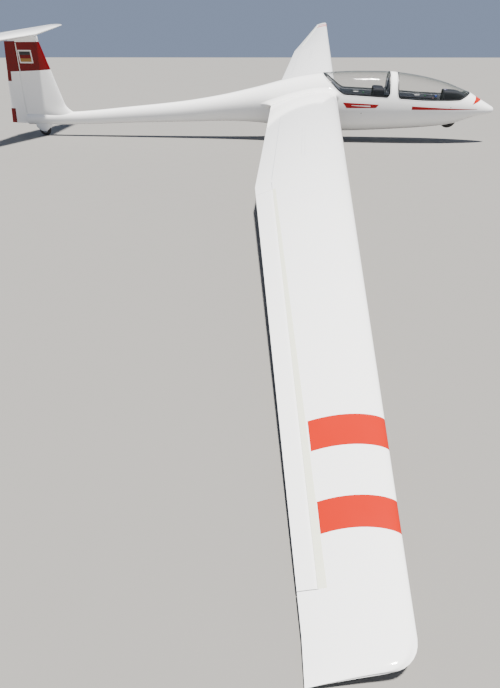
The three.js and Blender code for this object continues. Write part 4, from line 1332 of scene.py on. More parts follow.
# %% Cushions
def woven(name, color, other, threads):
    """Cloth: two crossed waves make the weave, a large noise fades it, and sheen lights its nap."""
    material = finish(name, color, other, 5, 90, 0.82, 0.96, 0.3, 0.0006)
    tree = material.node_tree
    shader = tree.nodes["Principled BSDF"]
    shader.inputs["Sheen Weight"].default_value = 0.25
    shader.inputs["Sheen Roughness"].default_value = 0.45
    place = tree.nodes.new("ShaderNodeTexCoord")
    both = new_node(tree, "ShaderNodeMath", operation="MULTIPLY")
    for number, direction in enumerate("XZ"):
        wave = new_node(tree, "ShaderNodeTexWave", bands_direction=direction, scale=threads, distortion=0.6)
        wire(tree, (place, "Object", wave, "Vector"), (wave, "Fac", both, number))
    bump = new_node(tree, "ShaderNodeBump", strength=0.35, distance=0.0007)
    group = next(node for node in tree.nodes if node.type == "GROUP")
    wire(tree, (both, "Value", bump, "Height"), (group, "Normal", bump, "Normal"),
         (bump, "Normal", shader, "Normal"))
    return material


seat_cloth = woven("seat cloth", (0.030, 0.040, 0.075), (0.045, 0.055, 0.090), 260)
webbing = woven("harness webbing", (0.060, 0.065, 0.075), (0.085, 0.090, 0.100), 420)
SLAB_ROUND, SEAM_SUNK, CLOTH_FRAMES = 0.03, 0.0035, 20


def slab(name, line, half_width, half_thick, material):
    """A pillow-shaped slab along a side-view line of (x, z) points."""
    line = np.asarray(line, float)
    ahead = np.gradient(line, axis=0)
    ahead = ahead / np.linalg.norm(ahead, axis=1, keepdims=True)
    up = np.stack([-ahead[:, 1], ahead[:, 0]], -1)
    length = np.concatenate([[0], np.cumsum(np.linalg.norm(np.diff(line, axis=0), axis=1))])
    turns = (np.arange(40) + 0.5) * 2 * math.pi / 40
    c, s = np.cos(turns), np.sin(turns)
    y = np.sign(c) * np.abs(c) ** 0.35
    w = np.sign(s) * np.abs(s) ** 0.55
    rings = []
    for point, normal, here in zip(line, up, length):
        near = min(here, length[-1] - here) / SLAB_ROUND
        round_off = math.sqrt(max(0.02, 1 - max(0.0, 1 - near) ** 2))
        corner = 1 - 0.10 * max(0.0, 1 - near) ** 2
        rings.append(np.stack([
            point[0] + normal[0] * w * half_thick * round_off, y * half_width * corner,
            point[1] + normal[1] * w * half_thick * round_off], -1))
    return loft(name, rings, [material])


def puff(piece, line, half_thick, channels, voxel=0.006, cap=0.010):
    """Blows a slab up between its sewn channels, which are shares of its length."""
    cells = piece.modifiers.new("cells", "REMESH")
    cells.mode = "VOXEL"
    cells.voxel_size = voxel
    applied(piece)
    line = np.asarray(line, float)
    start, ahead = line[0], line[-1] - line[0]
    size = len(piece.data.vertices)
    before = np.empty(size * 3)
    piece.data.vertices.foreach_get("co", before)
    before = before.reshape(-1, 3)
    flat = level(before)
    nearest = np.argmin(np.linalg.norm(flat[:, None, [0, 2]] - line[None], axis=2), axis=1)
    step = np.gradient(line, axis=0)[nearest]
    up = np.stack([-step[:, 1], step[:, 0]], -1) / np.linalg.norm(step, axis=1, keepdims=True)
    rise = np.sum((flat[:, [0, 2]] - line[nearest]) * up, axis=1)
    share = (flat[:, [0, 2]] - start) @ ahead / (ahead @ ahead)
    reach = np.linalg.norm(ahead)
    sewn = np.zeros(size, bool)
    for channel in channels:
        sewn |= (np.abs(share - channel) * reach < voxel * 0.75) & (rise > 0)
    held = sewn | (rise < -half_thick * 0.55)
    group = piece.vertex_groups.new(name="held")
    group.add([int(i) for i in np.nonzero(held)[0]], 1.0, "REPLACE")
    cloth = piece.modifiers.new("stuffing", "CLOTH")
    cloth.settings.vertex_group_mass = "held"
    cloth.settings.use_pressure = True
    cloth.settings.uniform_pressure_force = 4
    cloth.settings.effector_weights.gravity = 0
    cloth.settings.quality = 4
    cloth.point_cache.frame_start = 1
    cloth.point_cache.frame_end = CLOTH_FRAMES
    for frame_number in range(1, CLOTH_FRAMES + 1):
        bpy.context.scene.frame_set(frame_number)
    depsgraph = bpy.context.evaluated_depsgraph_get()
    moved = np.empty(size * 3)
    piece.evaluated_get(depsgraph).data.vertices.foreach_get("co", moved)
    piece.modifiers.clear()
    piece.vertex_groups.clear()
    bpy.context.scene.frame_set(1)
    shift = moved.reshape(-1, 3) - before
    far = np.linalg.norm(shift, axis=1, keepdims=True)
    shift *= np.minimum(1, cap / np.maximum(far, 1e-9))
    before = before + shift
    inward = np.zeros((size, 3))
    inward[:, [0, 2]] = -up * SEAM_SUNK
    before[sewn] += (inward @ ROLL.T)[sewn]
    piece.data.vertices.foreach_set("co", before.ravel())
    smoother = piece.modifiers.new("smoother", "SUBSURF")
    smoother.levels = smoother.render_levels = 1
    applied(piece).shade_smooth()


CUSHION_HALF, CUSHION_THICK = 0.172, 0.0135
for which, place in SEATS.items():
    middle = seat_line(0.62, 61) + place
    back, base = middle[1:25], middle[28:60]
    for part, line, channels in (("back", back, (0.2, 0.4, 0.6, 0.8)), ("base", base, (0.25, 0.5, 0.75))):
        cushion = slab(f"{part}_cushion_{which}", line, CUSHION_HALF, CUSHION_THICK, seat_cloth)
        puff(cushion, line, CUSHION_THICK, channels)
        settle(cushion, "airframe", "seat_cloth", f"seat_{which}")
        print(cushion.name, "faces:", len(cushion.data.polygons))

# %% [markdown]
# The headrests are small cushions on two steel rods that come out of the seat back. They are puffed up in the
# same way.

# %% Headrests
HEADREST_X, HEADREST_Z = {"front": 1.256, "rear": 0.256}, 0.852
for which, x in HEADREST_X.items():
    line = np.linspace((x + 0.023, HEADREST_Z - 0.062), (x + 0.039, HEADREST_Z + 0.092), 16)
    head = slab(f"headrest_cushion_{which}", line[::-1], 0.087, 0.016, seat_cloth)
    puff(head, line[::-1], 0.016, (0.5,), 0.005, 0.008)
    settle(head, "airframe", "seat_cloth", f"headrest_{which}")
    seat_x, seat_z = SEATS[which]
    for number, y in enumerate((-0.045, 0.045)):
        foot = np.array([seat_x - 0.487, y, seat_z + 0.375])
        bends = [foot, foot + (-0.006, 0, 0.05), (x + 0.026, y, HEADREST_Z - 0.03)]
        post = rod(f"headrest_post_{which}_{number}", bends, 0.006, [bright_steel])
        settle(post, "airframe", "steel", f"headrest_{which}")
    print(which, "headrest faces:", len(head.data.polygons))

# %% [markdown]
# Each seat has a four-point harness. Nobody sits in it, so the shoulder straps lie down the back cushion and
# the lap straps cross the seat to the round buckle. Webbing is flat and stiff, so it is swept, not simulated.

# %% Harness
buckle_red = finish("buckle red", (0.45, 0.02, 0.02), (0.38, 0.015, 0.015), 30, 200, 0.3, 0.42, 0.2, 0.0002)
# share of the way from the seat's back edge to its front, height over the cushions, distance from the middle
SHOULDER = [(0.005, 0.004, 0.075), (0.05, 0.009, 0.074), (0.15, 0.010, 0.070), (0.28, 0.011, 0.060),
            (0.38, 0.013, 0.045), (0.45, 0.015, 0.030), (0.505, 0.016, 0.018)]
LAP = [(0.47, 0.004, 0.177), (0.475, 0.012, 0.165), (0.49, 0.014, 0.12), (0.51, 0.015, 0.07),
       (0.52, 0.016, 0.030)]
STRAP_WIDTH, BUCKLE_UP = 0.042, (0.12, 0, 1)
BUCKLE = [(-0.004, 0.016), (-0.004, 0.026), (0.006, 0.028), (0.011, 0.026), (0.012, 0.018)]
BUCKLE_KNOB = [(0.0122, 0.014), (0.0122, 0.0175), (0.017, 0.0175), (0.019, 0.015), (0.0195, 0.004)]


def seat_top(which, share, lift):
    """A point above the middle of the cushions, share of the way from the seat's back edge to its front."""
    line = seat_line(1.0, 81) + SEATS[which]
    k = int(round(share * 80))
    step = line[min(k + 1, 80)] - line[max(k - 1, 0)]
    step = step / np.linalg.norm(step)
    return line[k] + np.array([-step[1], step[0]]) * lift


def over_seat(which, marks, side):
    path = []
    for share, lift, out in marks:
        x, z = seat_top(which, share, lift)
        path.append((x, side * out, z))
    return path


for which in SEATS:
    for number, side in enumerate((-1, 1)):
        path = over_seat(which, SHOULDER, side)
        x, y, z = path[2]
        for part, line, wide, way, material, thick, slot in (
                ("shoulder_strap", curve_through(path, 40), STRAP_WIDTH, (0, 1, 0),
                 webbing, 0.0022, "seat_cloth"),
                ("lap_strap", curve_through(over_seat(which, LAP, side), 24), STRAP_WIDTH, (1, 0, 0.25),
                 webbing, 0.0022, "seat_cloth"),
                ("strap_adjuster", [(x, y, z), (x + 0.012, y, z - 0.022)], 0.052, (0, 1, 0),
                 bright_steel, 0.007, "steel")):
            piece = strap(f"{part}_{which}_{number}", line, wide, way, [material], thick)
            settle(piece, "airframe", slot, f"seat_{which}")
    x, z = seat_top(which, 0.52, 0.016)
    body = turned(f"harness_buckle_{which}", BUCKLE, (x, 0, z), BUCKLE_UP, [bright_steel])
    knob = turned(f"buckle_knob_{which}", BUCKLE_KNOB, (x, 0, z), BUCKLE_UP, [buckle_red])
    settle(body, "airframe", "steel", f"seat_{which}")
    settle(knob, "airframe", "panel_black", f"seat_{which}")
print("harness laid")

# %% [markdown]
# The front instruments stand in a narrow pod ahead of the stick; the rear ones are in a wider panel behind
# the front seat. A soft-edged hood reaches back over each face to keep the sun off the dials.

# %% Instrument pods
crinkle = finish(
    "crinkle black", (0.004, 0.005, 0.008), (0.008, 0.009, 0.014), 40, 520, 0.5, 0.68, 0.9, 0.0007, gloss=0.2)
hood_cloth = finish(
    "hood leather", (0.004, 0.0046, 0.009), (0.007, 0.008, 0.015), 14, 240, 0.6, 0.78, 0.7, 0.0009, gloss=0.2)


def rounded_arch(half, foot, crown, corner, steps=8):
    """Cross-section of a hood, as (y, z): flat foot, upright sides and round shoulders."""
    turns = np.linspace(0, math.pi / 2, steps)
    right = [(half - corner + corner * math.cos(t), crown - corner + corner * math.sin(t)) for t in turns]
    left = [(-y, z) for y, z in right[::-1]]
    return np.array([(half, foot)] + right + left + [(-half, foot)])


def hood(name, stations, half, foot, corner, node):
    """stations: (x, height of the top)."""
    rings = []
    for x, crown in stations:
        section = rounded_arch(half, foot, crown, min(corner, (crown - foot) * 0.6))
        rings.append(np.column_stack([np.full(len(section), x), section]))
    piece = loft(name, rings, [hood_cloth], sharp=40)
    back, crown = stations[0]
    inner = rounded_arch(half - 0.007, foot + 0.010, crown - 0.007, corner - 0.006)
    recess = [np.column_stack([np.full(len(inner), x), inner]) for x in (back - 0.02, back + 0.016)]
    carve(piece, loft("cutter", recess, [crinkle], sharp=40), transfer=True)
    settle(piece, "airframe", "panel_black", node)


front_stations = [(2.169, 0.7785), (2.175, 0.7795), (2.215, 0.7785), (2.300, 0.775), (2.372, 0.7695),
                  (2.420, 0.756), (2.480, 0.7345), (2.530, 0.709), (2.556, 0.690), (2.571, 0.655)]
rear_stations = [(1.071, 0.813), (1.077, 0.8165), (1.105, 0.8235), (1.150, 0.821), (1.200, 0.8175),
                 (1.230, 0.813), (1.243, 0.795)]
hood("instrument_hood_front", front_stations, 0.119, 0.561, 0.035, "instrument_pod_front")
hood("instrument_hood_rear", rear_stations, 0.169, 0.561, 0.040, "instrument_panel_rear")

# %% [markdown]
# Every dial is a bezel, a black face with white ticks, and a needle; the larger dials also carry numbers from
# 0 up. A dial's face looks back at the pilot, so its parts are laid out in a flat plane and stood up at the
# panel.

# %% Dials
dial_black = finish(
    "dial black", (0.008, 0.008, 0.009), (0.014, 0.014, 0.015), 40, 300, 0.4, 0.55, 0.1, 0.0002)
tick_white = finish("tick white", (0.80, 0.80, 0.76), (0.72, 0.72, 0.68), 60, 300, 0.5, 0.6, 0.1, 0.0001)
bezel_black = finish(
    "bezel black", (0.025, 0.026, 0.028), (0.04, 0.041, 0.043), 50, 400, 0.35, 0.5, 0.4, 0.0002)
TO_PILOT = (-1, 0, 0)
# name, profile as (depth, share of the radius), finish, facets
DIAL_PARTS = [
    ("bezel", [(-0.004, 0.86), (-0.004, 1), (0.004, 1), (0.007, 0.95), (0.0075, 0.89), (0.002, 0.86)],
     bezel_black, 40),
    ("face", [(-0.003, 0.86), (0.0012, 0.86)], dial_black, 40),
    ("nut", [(0.0012, 0.09), (0.0034, 0.09), (0.0040, 0.05)], bezel_black, 16),
]


def flat_on_panel(points, centre):
    """(right, up) offsets and a lift, as the pilot sees them, to level aircraft points."""
    points = np.asarray(points, float)
    return np.stack([centre[0] - points[:, 2], centre[1] - points[:, 0], centre[2] + points[:, 1]], -1)


def dial(name, centre, radius, ticks, pointer, node, digits=()):
    """ticks: how many round the face; pointer: degrees clockwise from the top."""
    bezel, face, nut = (
        turned(f"{name}_{part}", [(depth, radius * share) for depth, share in profile], centre, TO_PILOT,
               [look], count) for part, profile, look, count in DIAL_PARTS)
    points, faces = [], []

    def bar(turn, inner, outer, wide, lift, thick=0.0005):
        direction = np.array([math.sin(turn), math.cos(turn)])
        side_way = np.array([direction[1], -direction[0]])
        base = len(points)
        for height in (lift, lift + thick):
            for along_it, across_it in ((inner, -1), (inner, 1), (outer, 1), (outer, -1)):
                spot = direction * along_it + side_way * across_it * wide / 2
                points.append((spot[0], spot[1], height))
        for quad in ((3, 2, 1, 0), (4, 5, 6, 7), (0, 1, 5, 4), (1, 2, 6, 5), (2, 3, 7, 6), (3, 0, 4, 7)):
            faces.append(tuple(base + k for k in quad))

    for k in range(ticks):
        long = k % 5 == 0
        inner, wide = (0.66, 0.040) if long else (0.73, 0.022)
        bar(k * 2 * math.pi / ticks, radius * inner, radius * 0.81, radius * wide, 0.0013)
    bar(math.radians(pointer), -radius * 0.16, radius * 0.62, radius * 0.06, 0.0024)
    marks = piece_from(f"{name}_marks", flat_on_panel(points, centre), faces, [tick_white])
    for piece in (bezel, face, marks, nut):
        settle(piece, "airframe", "panel_black", node)
    for value, turn in digits:
        text = bpy.data.curves.new(f"{name}_{value}", "FONT")
        text.body = str(value)
        text.size = radius * 0.34
        text.align_x, text.align_y = "CENTER", "CENTER"
        text.extrude = 0.0002
        shape = placed("digit", text)
        mesh = bpy.data.meshes.new_from_object(shape.evaluated_get(bpy.context.evaluated_depsgraph_get()))
        bpy.data.objects.remove(shape)
        corners = np.array([tuple(v.co) for v in mesh.vertices])
        turn = math.radians(turn)
        corners += (math.sin(turn) * radius * 0.48, math.cos(turn) * radius * 0.48, 0.0016)
        mesh.vertices.foreach_set("co", parked(flat_on_panel(corners, centre)).ravel())
        mesh.materials.clear()
        mesh.materials.append(tick_white)
        settle(placed(f"{name}_digit_{value}", mesh), "airframe", "panel_black", node)


CLOCK = [(0, 0), (2, 72), (4, 144), (6, 216), (8, 288)]
# name, across, height, radius, ticks, where the needle points
FRONT_DIALS = [
    ("airspeed", 0.052, 0.697, 0.040, 40, 35), ("altimeter", -0.052, 0.697, 0.040, 50, 110),
    ("climb", 0.058, 0.618, 0.0285, 40, 268), ("turn", -0.058, 0.618, 0.0285, 20, 0),
    ("net_climb", 0, 0.618, 0.0285, 40, 272)]
REAR_DIALS = [
    ("airspeed", 0.055, 0.742, 0.040, 40, 35), ("altimeter", -0.055, 0.742, 0.040, 50, 110),
    ("climb", 0.124, 0.655, 0.0285, 40, 268), ("turn", -0.124, 0.655, 0.0285, 20, 0),
    ("net_climb", 0, 0.648, 0.0285, 40, 272)]
PANELS = (("front", FRONT_DIALS, 2.1845, "instrument_pod_front"),
          ("rear", REAR_DIALS, 1.0865, "instrument_panel_rear"))
for which, dials, face_x, node in PANELS:
    for name, y, z, radius, ticks, pointer in dials:
        dial(f"{name}_{which}", (face_x, y, z), radius, ticks, pointer, node, CLOCK if radius > 0.03 else ())
print("dials:", len(FRONT_DIALS) + len(REAR_DIALS))

# %% [markdown]
# A small compass is let into the top of the front hood, in its own round housing. Its card faces the pilot.

# %% Compass
compass_violet = finish(
    "compass housing", (0.030, 0.026, 0.070), (0.045, 0.040, 0.095), 20, 200, 0.25, 0.4, 0.2, 0.0003)
COMPASS = (2.197, 0, 0.7695)
ball = [(-0.030, 0.009), (-0.028, 0.018), (-0.018, 0.0255), (-0.004, 0.0278), (0.012, 0.027), (0.022, 0.0235),
        (0.0225, 0.020), (0.018, 0.018)]
card_edge = [(0.0165, 0.0185), (0.0185, 0.0175), (0.0200, 0.011), (0.0205, 0.003)]
housing = turned("compass_housing", ball, COMPASS, TO_PILOT, [compass_violet])
card = turned("compass_card", card_edge, COMPASS, TO_PILOT, [tick_white], 24)
for piece in (housing, card):
    settle(piece, "airframe", "panel_black", "instrument_pod_front")
print("compass in the hood")

# %% [markdown]
# Control sticks rise through a pleated boot that keeps dust out of the bearings. The grip is moulded rubber
# with finger ridges, and the shaft is a plain steel tube. All are turned parts, and all but the upright boot
# share one leaning axis.

# %% Sticks
grip_rubber = finish(
    "grip rubber", (0.014, 0.014, 0.015), (0.026, 0.026, 0.027), 40, 380, 0.5, 0.7, 0.8, 0.0006)
boot_leather = finish(
    "boot leather", (0.022, 0.021, 0.021), (0.036, 0.034, 0.033), 20, 220, 0.55, 0.75, 0.8, 0.0008)
STICKS = {"front": 2.082, "rear": 1.066}
STICK_FOOT, STICK_LEAN = 0.290, math.radians(-8)
stick_axis = np.array([math.sin(STICK_LEAN), 0, math.cos(STICK_LEAN)])
shaft_profile = [(0.0, 0.0098), (0.005, 0.0100), (0.270, 0.0092)]
button_profile = [(0.3714, 0.0058), (0.3745, 0.0056), (0.3755, 0.0040)]
ridges, pleats = [(0.262, 0.0110), (0.264, 0.0152)], [(0.000, 0.0101), (0.000, 0.058)]
for number in range(5):
    ridge = 0.276 + number * 0.017
    ridges += [(ridge, 0.0166 + number * 0.0002), (ridge + 0.0085, 0.0150 + number * 0.0004)]
    pleats += [(0.006 + number * 0.016, 0.056 - number * 0.0095),
               (0.013 + number * 0.016, 0.044 - number * 0.0078)]
ridges += [(0.362, 0.0176), (0.370, 0.0158), (0.3715, 0.0090)]
pleats += [(0.088, 0.0125), (0.092, 0.0104)]
for which, x in STICKS.items():
    foot = np.array([x, 0, STICK_FOOT])
    for part, profile, base, axis, look, count, sharp, slot in (
            ("shaft", shaft_profile, foot, stick_axis, bright_steel, 24, 30, "steel"),
            ("grip", ridges, foot, stick_axis, grip_rubber, 32, 50, "panel_black"),
            ("button", button_profile, foot, stick_axis, buckle_red, 20, 30, "panel_black"),
            ("boot", pleats, foot - stick_axis * 0.002, (0, 0, 1), boot_leather, 40, 50, "panel_black")):
        piece = turned(f"stick_{part}_{which}", profile, base, axis, [look], count, sharp)
        settle(piece, "airframe", slot, f"stick_{which}")
print("sticks:", len(STICKS))

# %% [markdown]
# Along both sides runs an arm rest with the hand controls: a moulded box whose top is padded and covered like
# the hoods. The knobs keep the usual colours: blue for the airbrakes, green for the trim, yellow for the tow
# release, white for the canopy's latch.

# %% Side consoles and levers
knob_colors = {}
for color_name, use, color, other, smooth, rough in (
        ("blue", "airbrake blue", (0.03, 0.07, 0.32), (0.025, 0.055, 0.26), 0.22, 0.34),
        ("green", "trim green", (0.03, 0.22, 0.06), (0.025, 0.18, 0.05), 0.25, 0.36),
        ("yellow", "release yellow", (0.75, 0.50, 0.03), (0.68, 0.45, 0.03), 0.25, 0.36),
        ("white", "latch white", (0.76, 0.76, 0.74), (0.70, 0.70, 0.68), 0.25, 0.36)):
    knob_colors[color_name] = finish(use, color, other, 30, 200, smooth, rough, 0.2, 0.0002)
CONSOLE = np.array([(0.602, 0.562), (0.602, 0.688), (1.376, 0.654), (2.148, 0.6185), (2.148, 0.562)])
PAD_THICK = 0.026


def console_top(x):
    return float(np.interp(x, CONSOLE[1:4, 0], CONSOLE[1:4, 1]))


def softened(piece, width):
    """The piece with all its sharp edges rounded."""
    soften = piece.modifiers.new("soften", "BEVEL")
    soften.width, soften.segments = width, 3
    shade(applied(piece), 40)
    return piece


box_outline = CONSOLE - np.array([(0, 0), (0, PAD_THICK), (0, PAD_THICK), (0, PAD_THICK), (0, 0)])
pad_outline = np.concatenate([box_outline[1:4] + (0, 0.0004), CONSOLE[3:0:-1]])
for side_name, side in SIDES:
    rest = plate(box_outline, side * 0.225, side * 0.257, f"arm_rest_{side_name}", [cockpit_grey])
    pad = plate(pad_outline, side * 0.222, side * 0.258, f"arm_rest_pad_{side_name}", [hood_cloth])
    for piece, width, slot in ((rest, 0.004, "cockpit_grey"), (pad, 0.010, "panel_black")):
        settle(softened(piece, width), "airframe", slot, f"side_console_{side_name}")
KNOB = [(-1, 0.3), (-0.7, 0.75), (0, 1), (0.6, 0.82), (0.95, 0.35)]
BESIDE_SEAT, REAR_SHIFT = 0.240, -1.0


def lever(name, x, y, height, color, radius):
    """An arm out of the console with a round knob on its end."""
    foot = console_top(x) - 0.006
    bends = [(x, y, foot), (x - 0.004, y, foot + height * 0.5), (x - 0.012, y, foot + height)]
    ball = [(radius * up, radius * out) for up, out in KNOB]
    settle(rod(f"{name}_arm", bends, 0.005, [bright_steel]), "airframe", "steel")
    knob = turned(f"{name}_knob", ball, bends[2], (-0.2, 0, 1), [knob_colors[color]], 24, 60)
    settle(knob, "airframe", "panel_black")


for which, shift, latch_z in (("front", 0.0, 0.650), ("rear", REAR_SHIFT, 0.695)):
    lever(f"airbrake_lever_{which}", 2.135 + shift, BESIDE_SEAT, 0.026, "blue", 0.018)
    lever(f"trim_lever_{which}", 1.96 + shift, BESIDE_SEAT, 0.026, "green", 0.011)
    lever(f"release_knob_{which}", 2.03 + shift, -BESIDE_SEAT, 0.045, "yellow", 0.014)
    for side_name, side in SIDES:
        x = 1.83 + shift
        y = side * (float(side_y(x, latch_z)) - 0.030)
        bends = [(x + ahead, y - side * out, latch_z)
                 for ahead, out in ((-0.035, 0), (-0.030, 0.022), (0.030, 0.022), (0.035, 0))]
        latch = rod(f"canopy_latch_{which}_{side_name}", curve_through(bends, 20), 0.0055,
                    [knob_colors["white"]])
        settle(latch, "airframe", "steel")
print("levers set")

# %% [markdown]
# Screws hold the canopies' rims and the dials, and bolts the wheels' hubs. Geometry Nodes repeat them: the
# tree walks along a path in even steps, or takes the points it is given, and turns one slotted head to face
# outwards at each. The stored direction "outward" on the path's points says which way that is.

# %% Fasteners by Geometry Nodes
def fastener_tree():
    tree = bpy.data.node_groups.new("fasteners along a path", "GeometryNodeTree")
    sockets(tree, "INPUT", ("Geometry", "Geometry"), ("Spacing", "Float"), ("Head Radius", "Float"),
            ("Head Height", "Float"), ("Sides", "Int"), ("Points Only", "Bool"), ("Finish", "Material"))
    sockets(tree, "OUTPUT", ("Geometry", "Geometry"))
    given = tree.nodes.new("NodeGroupInput")
    result = tree.nodes.new("NodeGroupOutput")
    path = tree.nodes.new("GeometryNodeMeshToCurve")
    even = new_node(tree, "GeometryNodeResampleCurve", mode="LENGTH")
    as_points = new_node(tree, "GeometryNodeCurveToPoints", mode="EVALUATED")
    loose = tree.nodes.new("GeometryNodeMeshToPoints")
    choose = new_node(tree, "GeometryNodeSwitch", input_type="GEOMETRY")
    head = tree.nodes.new("GeometryNodeMeshCylinder")
    slot_block = tree.nodes.new("GeometryNodeMeshCube")
    slot_size = tree.nodes.new("ShaderNodeCombineXYZ")
    slot_length, slot_width, slot_lift = (
        new_node(tree, "ShaderNodeMath", operation="MULTIPLY") for _ in range(3))
    for node, factor in ((slot_length, 3.0), (slot_width, 0.28), (slot_lift, 0.5)):
        node.inputs[1].default_value = factor
    slot_place = tree.nodes.new("ShaderNodeCombineXYZ")
    lifted = tree.nodes.new("GeometryNodeTransform")
    cut = new_node(tree, "GeometryNodeMeshBoolean", operation="DIFFERENCE")
    outward = new_node(tree, "GeometryNodeInputNamedAttribute", data_type="FLOAT_VECTOR")
    outward.inputs["Name"].default_value = "outward"
    facing = new_node(tree, "FunctionNodeAlignRotationToVector", axis="Z")
    place = tree.nodes.new("GeometryNodeInstanceOnPoints")
    real = tree.nodes.new("GeometryNodeRealizeInstances")
    paint = tree.nodes.new("GeometryNodeSetMaterial")
    wire(tree,
         (given, "Geometry", path, "Mesh"), (path, "Curve", even, "Curve"),
         (given, "Spacing", even, "Length"), (even, "Curve", as_points, "Curve"),
         (given, "Geometry", loose, "Mesh"),
         (given, "Points Only", choose, "Switch"), (as_points, "Points", choose, "False"),
         (loose, "Points", choose, "True"), (given, "Head Radius", head, "Radius"),
         (given, "Head Height", head, "Depth"), (given, "Sides", head, "Vertices"),
         (given, "Head Radius", slot_length, 0), (given, "Head Radius", slot_width, 0),
         (given, "Head Height", slot_lift, 0), (slot_length, "Value", slot_size, "X"),
         (slot_width, "Value", slot_size, "Y"), (slot_lift, "Value", slot_size, "Z"),
         (slot_size, "Vector", slot_block, "Size"), (slot_lift, "Value", slot_place, "Z"),
         (slot_block, "Mesh", lifted, "Geometry"), (slot_place, "Vector", lifted, "Translation"),
         (head, "Mesh", cut, "Mesh 1"), (lifted, "Geometry", cut, "Mesh 2"),
         (outward, "Attribute", facing, "Vector"), (choose, "Output", place, "Points"),
         (cut, "Mesh", place, "Instance"), (facing, "Rotation", place, "Rotation"),
         (place, "Instances", real, "Geometry"), (real, "Geometry", paint, "Geometry"),
         (given, "Finish", paint, "Material"), (paint, "Geometry", result, "Geometry"))
    return tree


FASTENERS = fastener_tree()


def fasteners(name, points, outward, body, radius, height, sides, spacing=0.0, node=None):
    """Slotted heads every spacing along a path, or at the points themselves where spacing is 0."""
    points = parked(points)
    mesh = bpy.data.meshes.new(name)
    edges = [(k, k + 1) for k in range(len(points) - 1)] if spacing else []
    mesh.from_pydata([tuple(p) for p in points], edges, [])
    directions = np.broadcast_to(np.asarray(outward, float).reshape(-1, 3) @ ROLL.T, points.shape)
    stored = mesh.attributes.new("outward", "FLOAT_VECTOR", "POINT")
    stored.data.foreach_set("vector", np.ascontiguousarray(directions).ravel())
    row = placed(name, mesh)
    maker = row.modifiers.new("fasteners", "NODES")
    maker.node_group = FASTENERS
    values = {"Spacing": spacing or 1.0, "Head Radius": radius, "Head Height": height, "Sides": sides,
              "Points Only": not spacing, "Finish": screw_steel}
    for item in FASTENERS.interface.items_tree:
        if item.in_out == "INPUT" and item.name in values:
            maker[item.identifier] = values[item.name]
    applied(row)
    settle(row, body, "steel", *([node] if node else []))
    print(name, "faces:", len(row.data.polygons))


def rim_path(which, side, inset):
    """The middle line of a canopy's rim on one side, from where it leaves the top, down and back up."""
    outline = opening(which, inset)
    pairs = zip(outline, np.roll(outline, -1, 0))
    dense = np.concatenate([np.linspace(a, b, 12, endpoint=False) for a, b in pairs])
    dense = np.roll(dense, -int(np.argmax(dense[:, 1])), axis=0)
    keep = dense[:, 1] < frame_value(TOP, dense[:, 0]) - 0.012
    first = int(np.argmax(keep))
    dense = dense[first:][keep[first:]]
    x, z = dense.T
    return skin_point(x, z, 0.0002) * (1, side, 1), skin_normal(x, z) * (1, side, 1)


screw_steel = finish(
    "screw steel", (0.42, 0.42, 0.43), (0.30, 0.30, 0.31), 60, 500, 0.3, 0.45, 0.2, 0.0002, metallic=1.0)
for which in ("front", "rear"):
    for side_name, side in SIDES:
        points, normals = rim_path(which, side, RIM_GAP + (RIM_LIP + RIM_WIDTH) / 2)
        fasteners(f"rim_screws_{which}_{side_name}", points, normals, f"canopy_{which}",
                  0.0028, 0.0012, 10, 0.095, f"canopy_frame_{which}")
DIAL_CORNERS = ((-0.78, -0.78), (0.78, -0.78), (-0.78, 0.78), (0.78, 0.78))
for which, dials, face_x, _ in PANELS:
    corners = [(face_x - 0.0004, y + dy * radius * 1.02, z + dz * radius * 1.02)
               for _, y, z, radius, _, _ in dials for dy, dz in DIAL_CORNERS]
    fasteners(f"dial_screws_{which}", corners, TO_PILOT, "airframe", 0.0026, 0.0014, 10)
for which, wheel in WHEELS.items():
    ring_radius = (wheel["axle"] + wheel["rim"]) / 2
    bolts, ways = [], []
    for side in (-1, 1):
        for turn in np.radians(np.arange(0, 360, 60) + 30):
            bolts.append((wheel["x"] + ring_radius * math.cos(turn), side * (wheel["half"] * 0.36 + 0.001),
                          wheel["z"] + ring_radius * math.sin(turn)))
            ways.append((0, side, 0))
    size = 0.005 if which == "main" else 0.0035
    fasteners(f"{which}_hub_bolts", bolts, ways, f"{which}_wheel", size, size * 1.2, 6, node=f"{which}_hub")

# %% [markdown]
# Two static ports on each side of the fuselage measure the air's pressure, and a bolt on each side of the
# fin's top holds the tailplane. Each is a shallow turned disc set on the skin.

# %% Ports and bolts
port_dark = finish("port dark", (0.05, 0.045, 0.045), (0.08, 0.075, 0.07), 40, 300, 0.5, 0.65, 0.2, 0.0002)
PORTS = [("static_port_front", 2.269, 0.579), ("static_port_rear", 0.898, 0.490)]
PORT_RADIUS = 0.0065
port_disc = [(-0.001, PORT_RADIUS), (0.0006, PORT_RADIUS), (0.0009, PORT_RADIUS * 0.85),
             (0.0009, PORT_RADIUS * 0.4)]
for name, x, z in PORTS:
    for side_name, side in SIDES:
        spot, way = skin_point(x, z) * (1, side, 1), skin_normal(x, z) * (1, side, 1)
        disc = turned(f"{name}_{side_name}", port_disc, spot.ravel(), way.ravel(), [port_dark], 24)
        settle(disc, "airframe", "gelcoat")
BOLT_X, BOLT_Y, BOLT_Z = -4.742, 0.0300, 1.512
bolt_head = [(-0.003, 0.0065), (0.0012, 0.0065), (0.0018, 0.005), (0.0018, 0.002)]
for side_name, side in SIDES:
    spot = (BOLT_X, side * BOLT_Y, BOLT_Z)
    bolt = turned(f"tailplane_bolt_{side_name}", bolt_head, spot, (0, side, 0), [port_dark], 20)
    settle(bolt, "airframe", "steel")
print("ports:", len(PORTS) * 2)

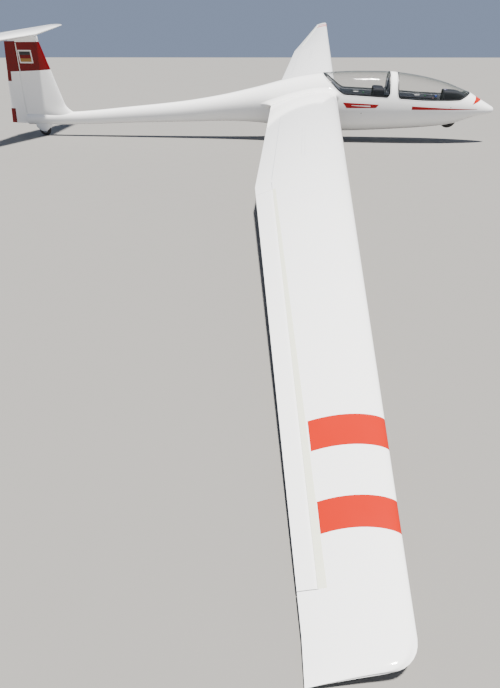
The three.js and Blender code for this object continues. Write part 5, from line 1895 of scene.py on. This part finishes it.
# %% [markdown]
# The tow hook is a milled steel catch and the skids under the wing tips are wear blocks, so their solids stay
# as they are and take a metal and a scuffed rubber made from nodes.

# %% Finishes for the solids that stay
hook_steel = finish(
    "hook steel", (0.34, 0.34, 0.345), (0.22, 0.21, 0.20), 24, 260, 0.32, 0.5, 0.4, 0.0005, metallic=1.0)
for node, material in (
        ("tow_hook", hook_steel), ("wingtip_skid_port", skid_wear), ("wingtip_skid_starboard", skid_wear)):
    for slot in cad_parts[node].material_slots:
        slot.material = material
print("solids with new finishes: 3")

# %% [markdown]
# The studio: a pale floor that reaches the horizon, a soft bluish sky, and a sun almost overhead, a little
# wide so that shadows have soft edges. It throws the shadow that runs along under the low wing's rear edge.

# %% Floor and light
FLOOR_X, FLOOR_BACK, FLOOR_FRONT = 150, -300, 60
SKY_COLOR, SKY_STRENGTH = (0.56, 0.70, 1.0, 1), 0.45
SUN_COLOR, SUN_STRENGTH, SUN_WIDTH = (1.0, 0.97, 0.92), 14.5, math.radians(4)
SUN_FROM = Vector((-0.08, 0.19, 0.978))
floor_mesh = bpy.data.meshes.new("floor")
floor_mesh.from_pydata([
    (-FLOOR_X, FLOOR_BACK, 0), (FLOOR_X, FLOOR_BACK, 0),
    (FLOOR_X, FLOOR_FRONT, 0), (-FLOOR_X, FLOOR_FRONT, 0)], [], [(0, 1, 2, 3)])
floor_mesh.materials.append(finish(
    "pale floor", (0.19, 0.184, 0.173), (0.182, 0.176, 0.165), 0.4, 6, 0.75, 0.9, 0.05, 0.001))
placed("floor", floor_mesh)
world = bpy.data.worlds.new("studio")
bpy.context.scene.world = world
world.use_nodes = True
backdrop = world.node_tree.nodes["Background"]
backdrop.inputs["Color"].default_value = SKY_COLOR
backdrop.inputs["Strength"].default_value = SKY_STRENGTH
sun_data = bpy.data.lights.new("sun", "SUN")
sun_data.energy = SUN_STRENGTH
sun_data.angle = SUN_WIDTH
sun_data.color = SUN_COLOR
placed("sun", sun_data).rotation_euler = SUN_FROM.to_track_quat("Z", "Y").to_euler()
print("studio set")
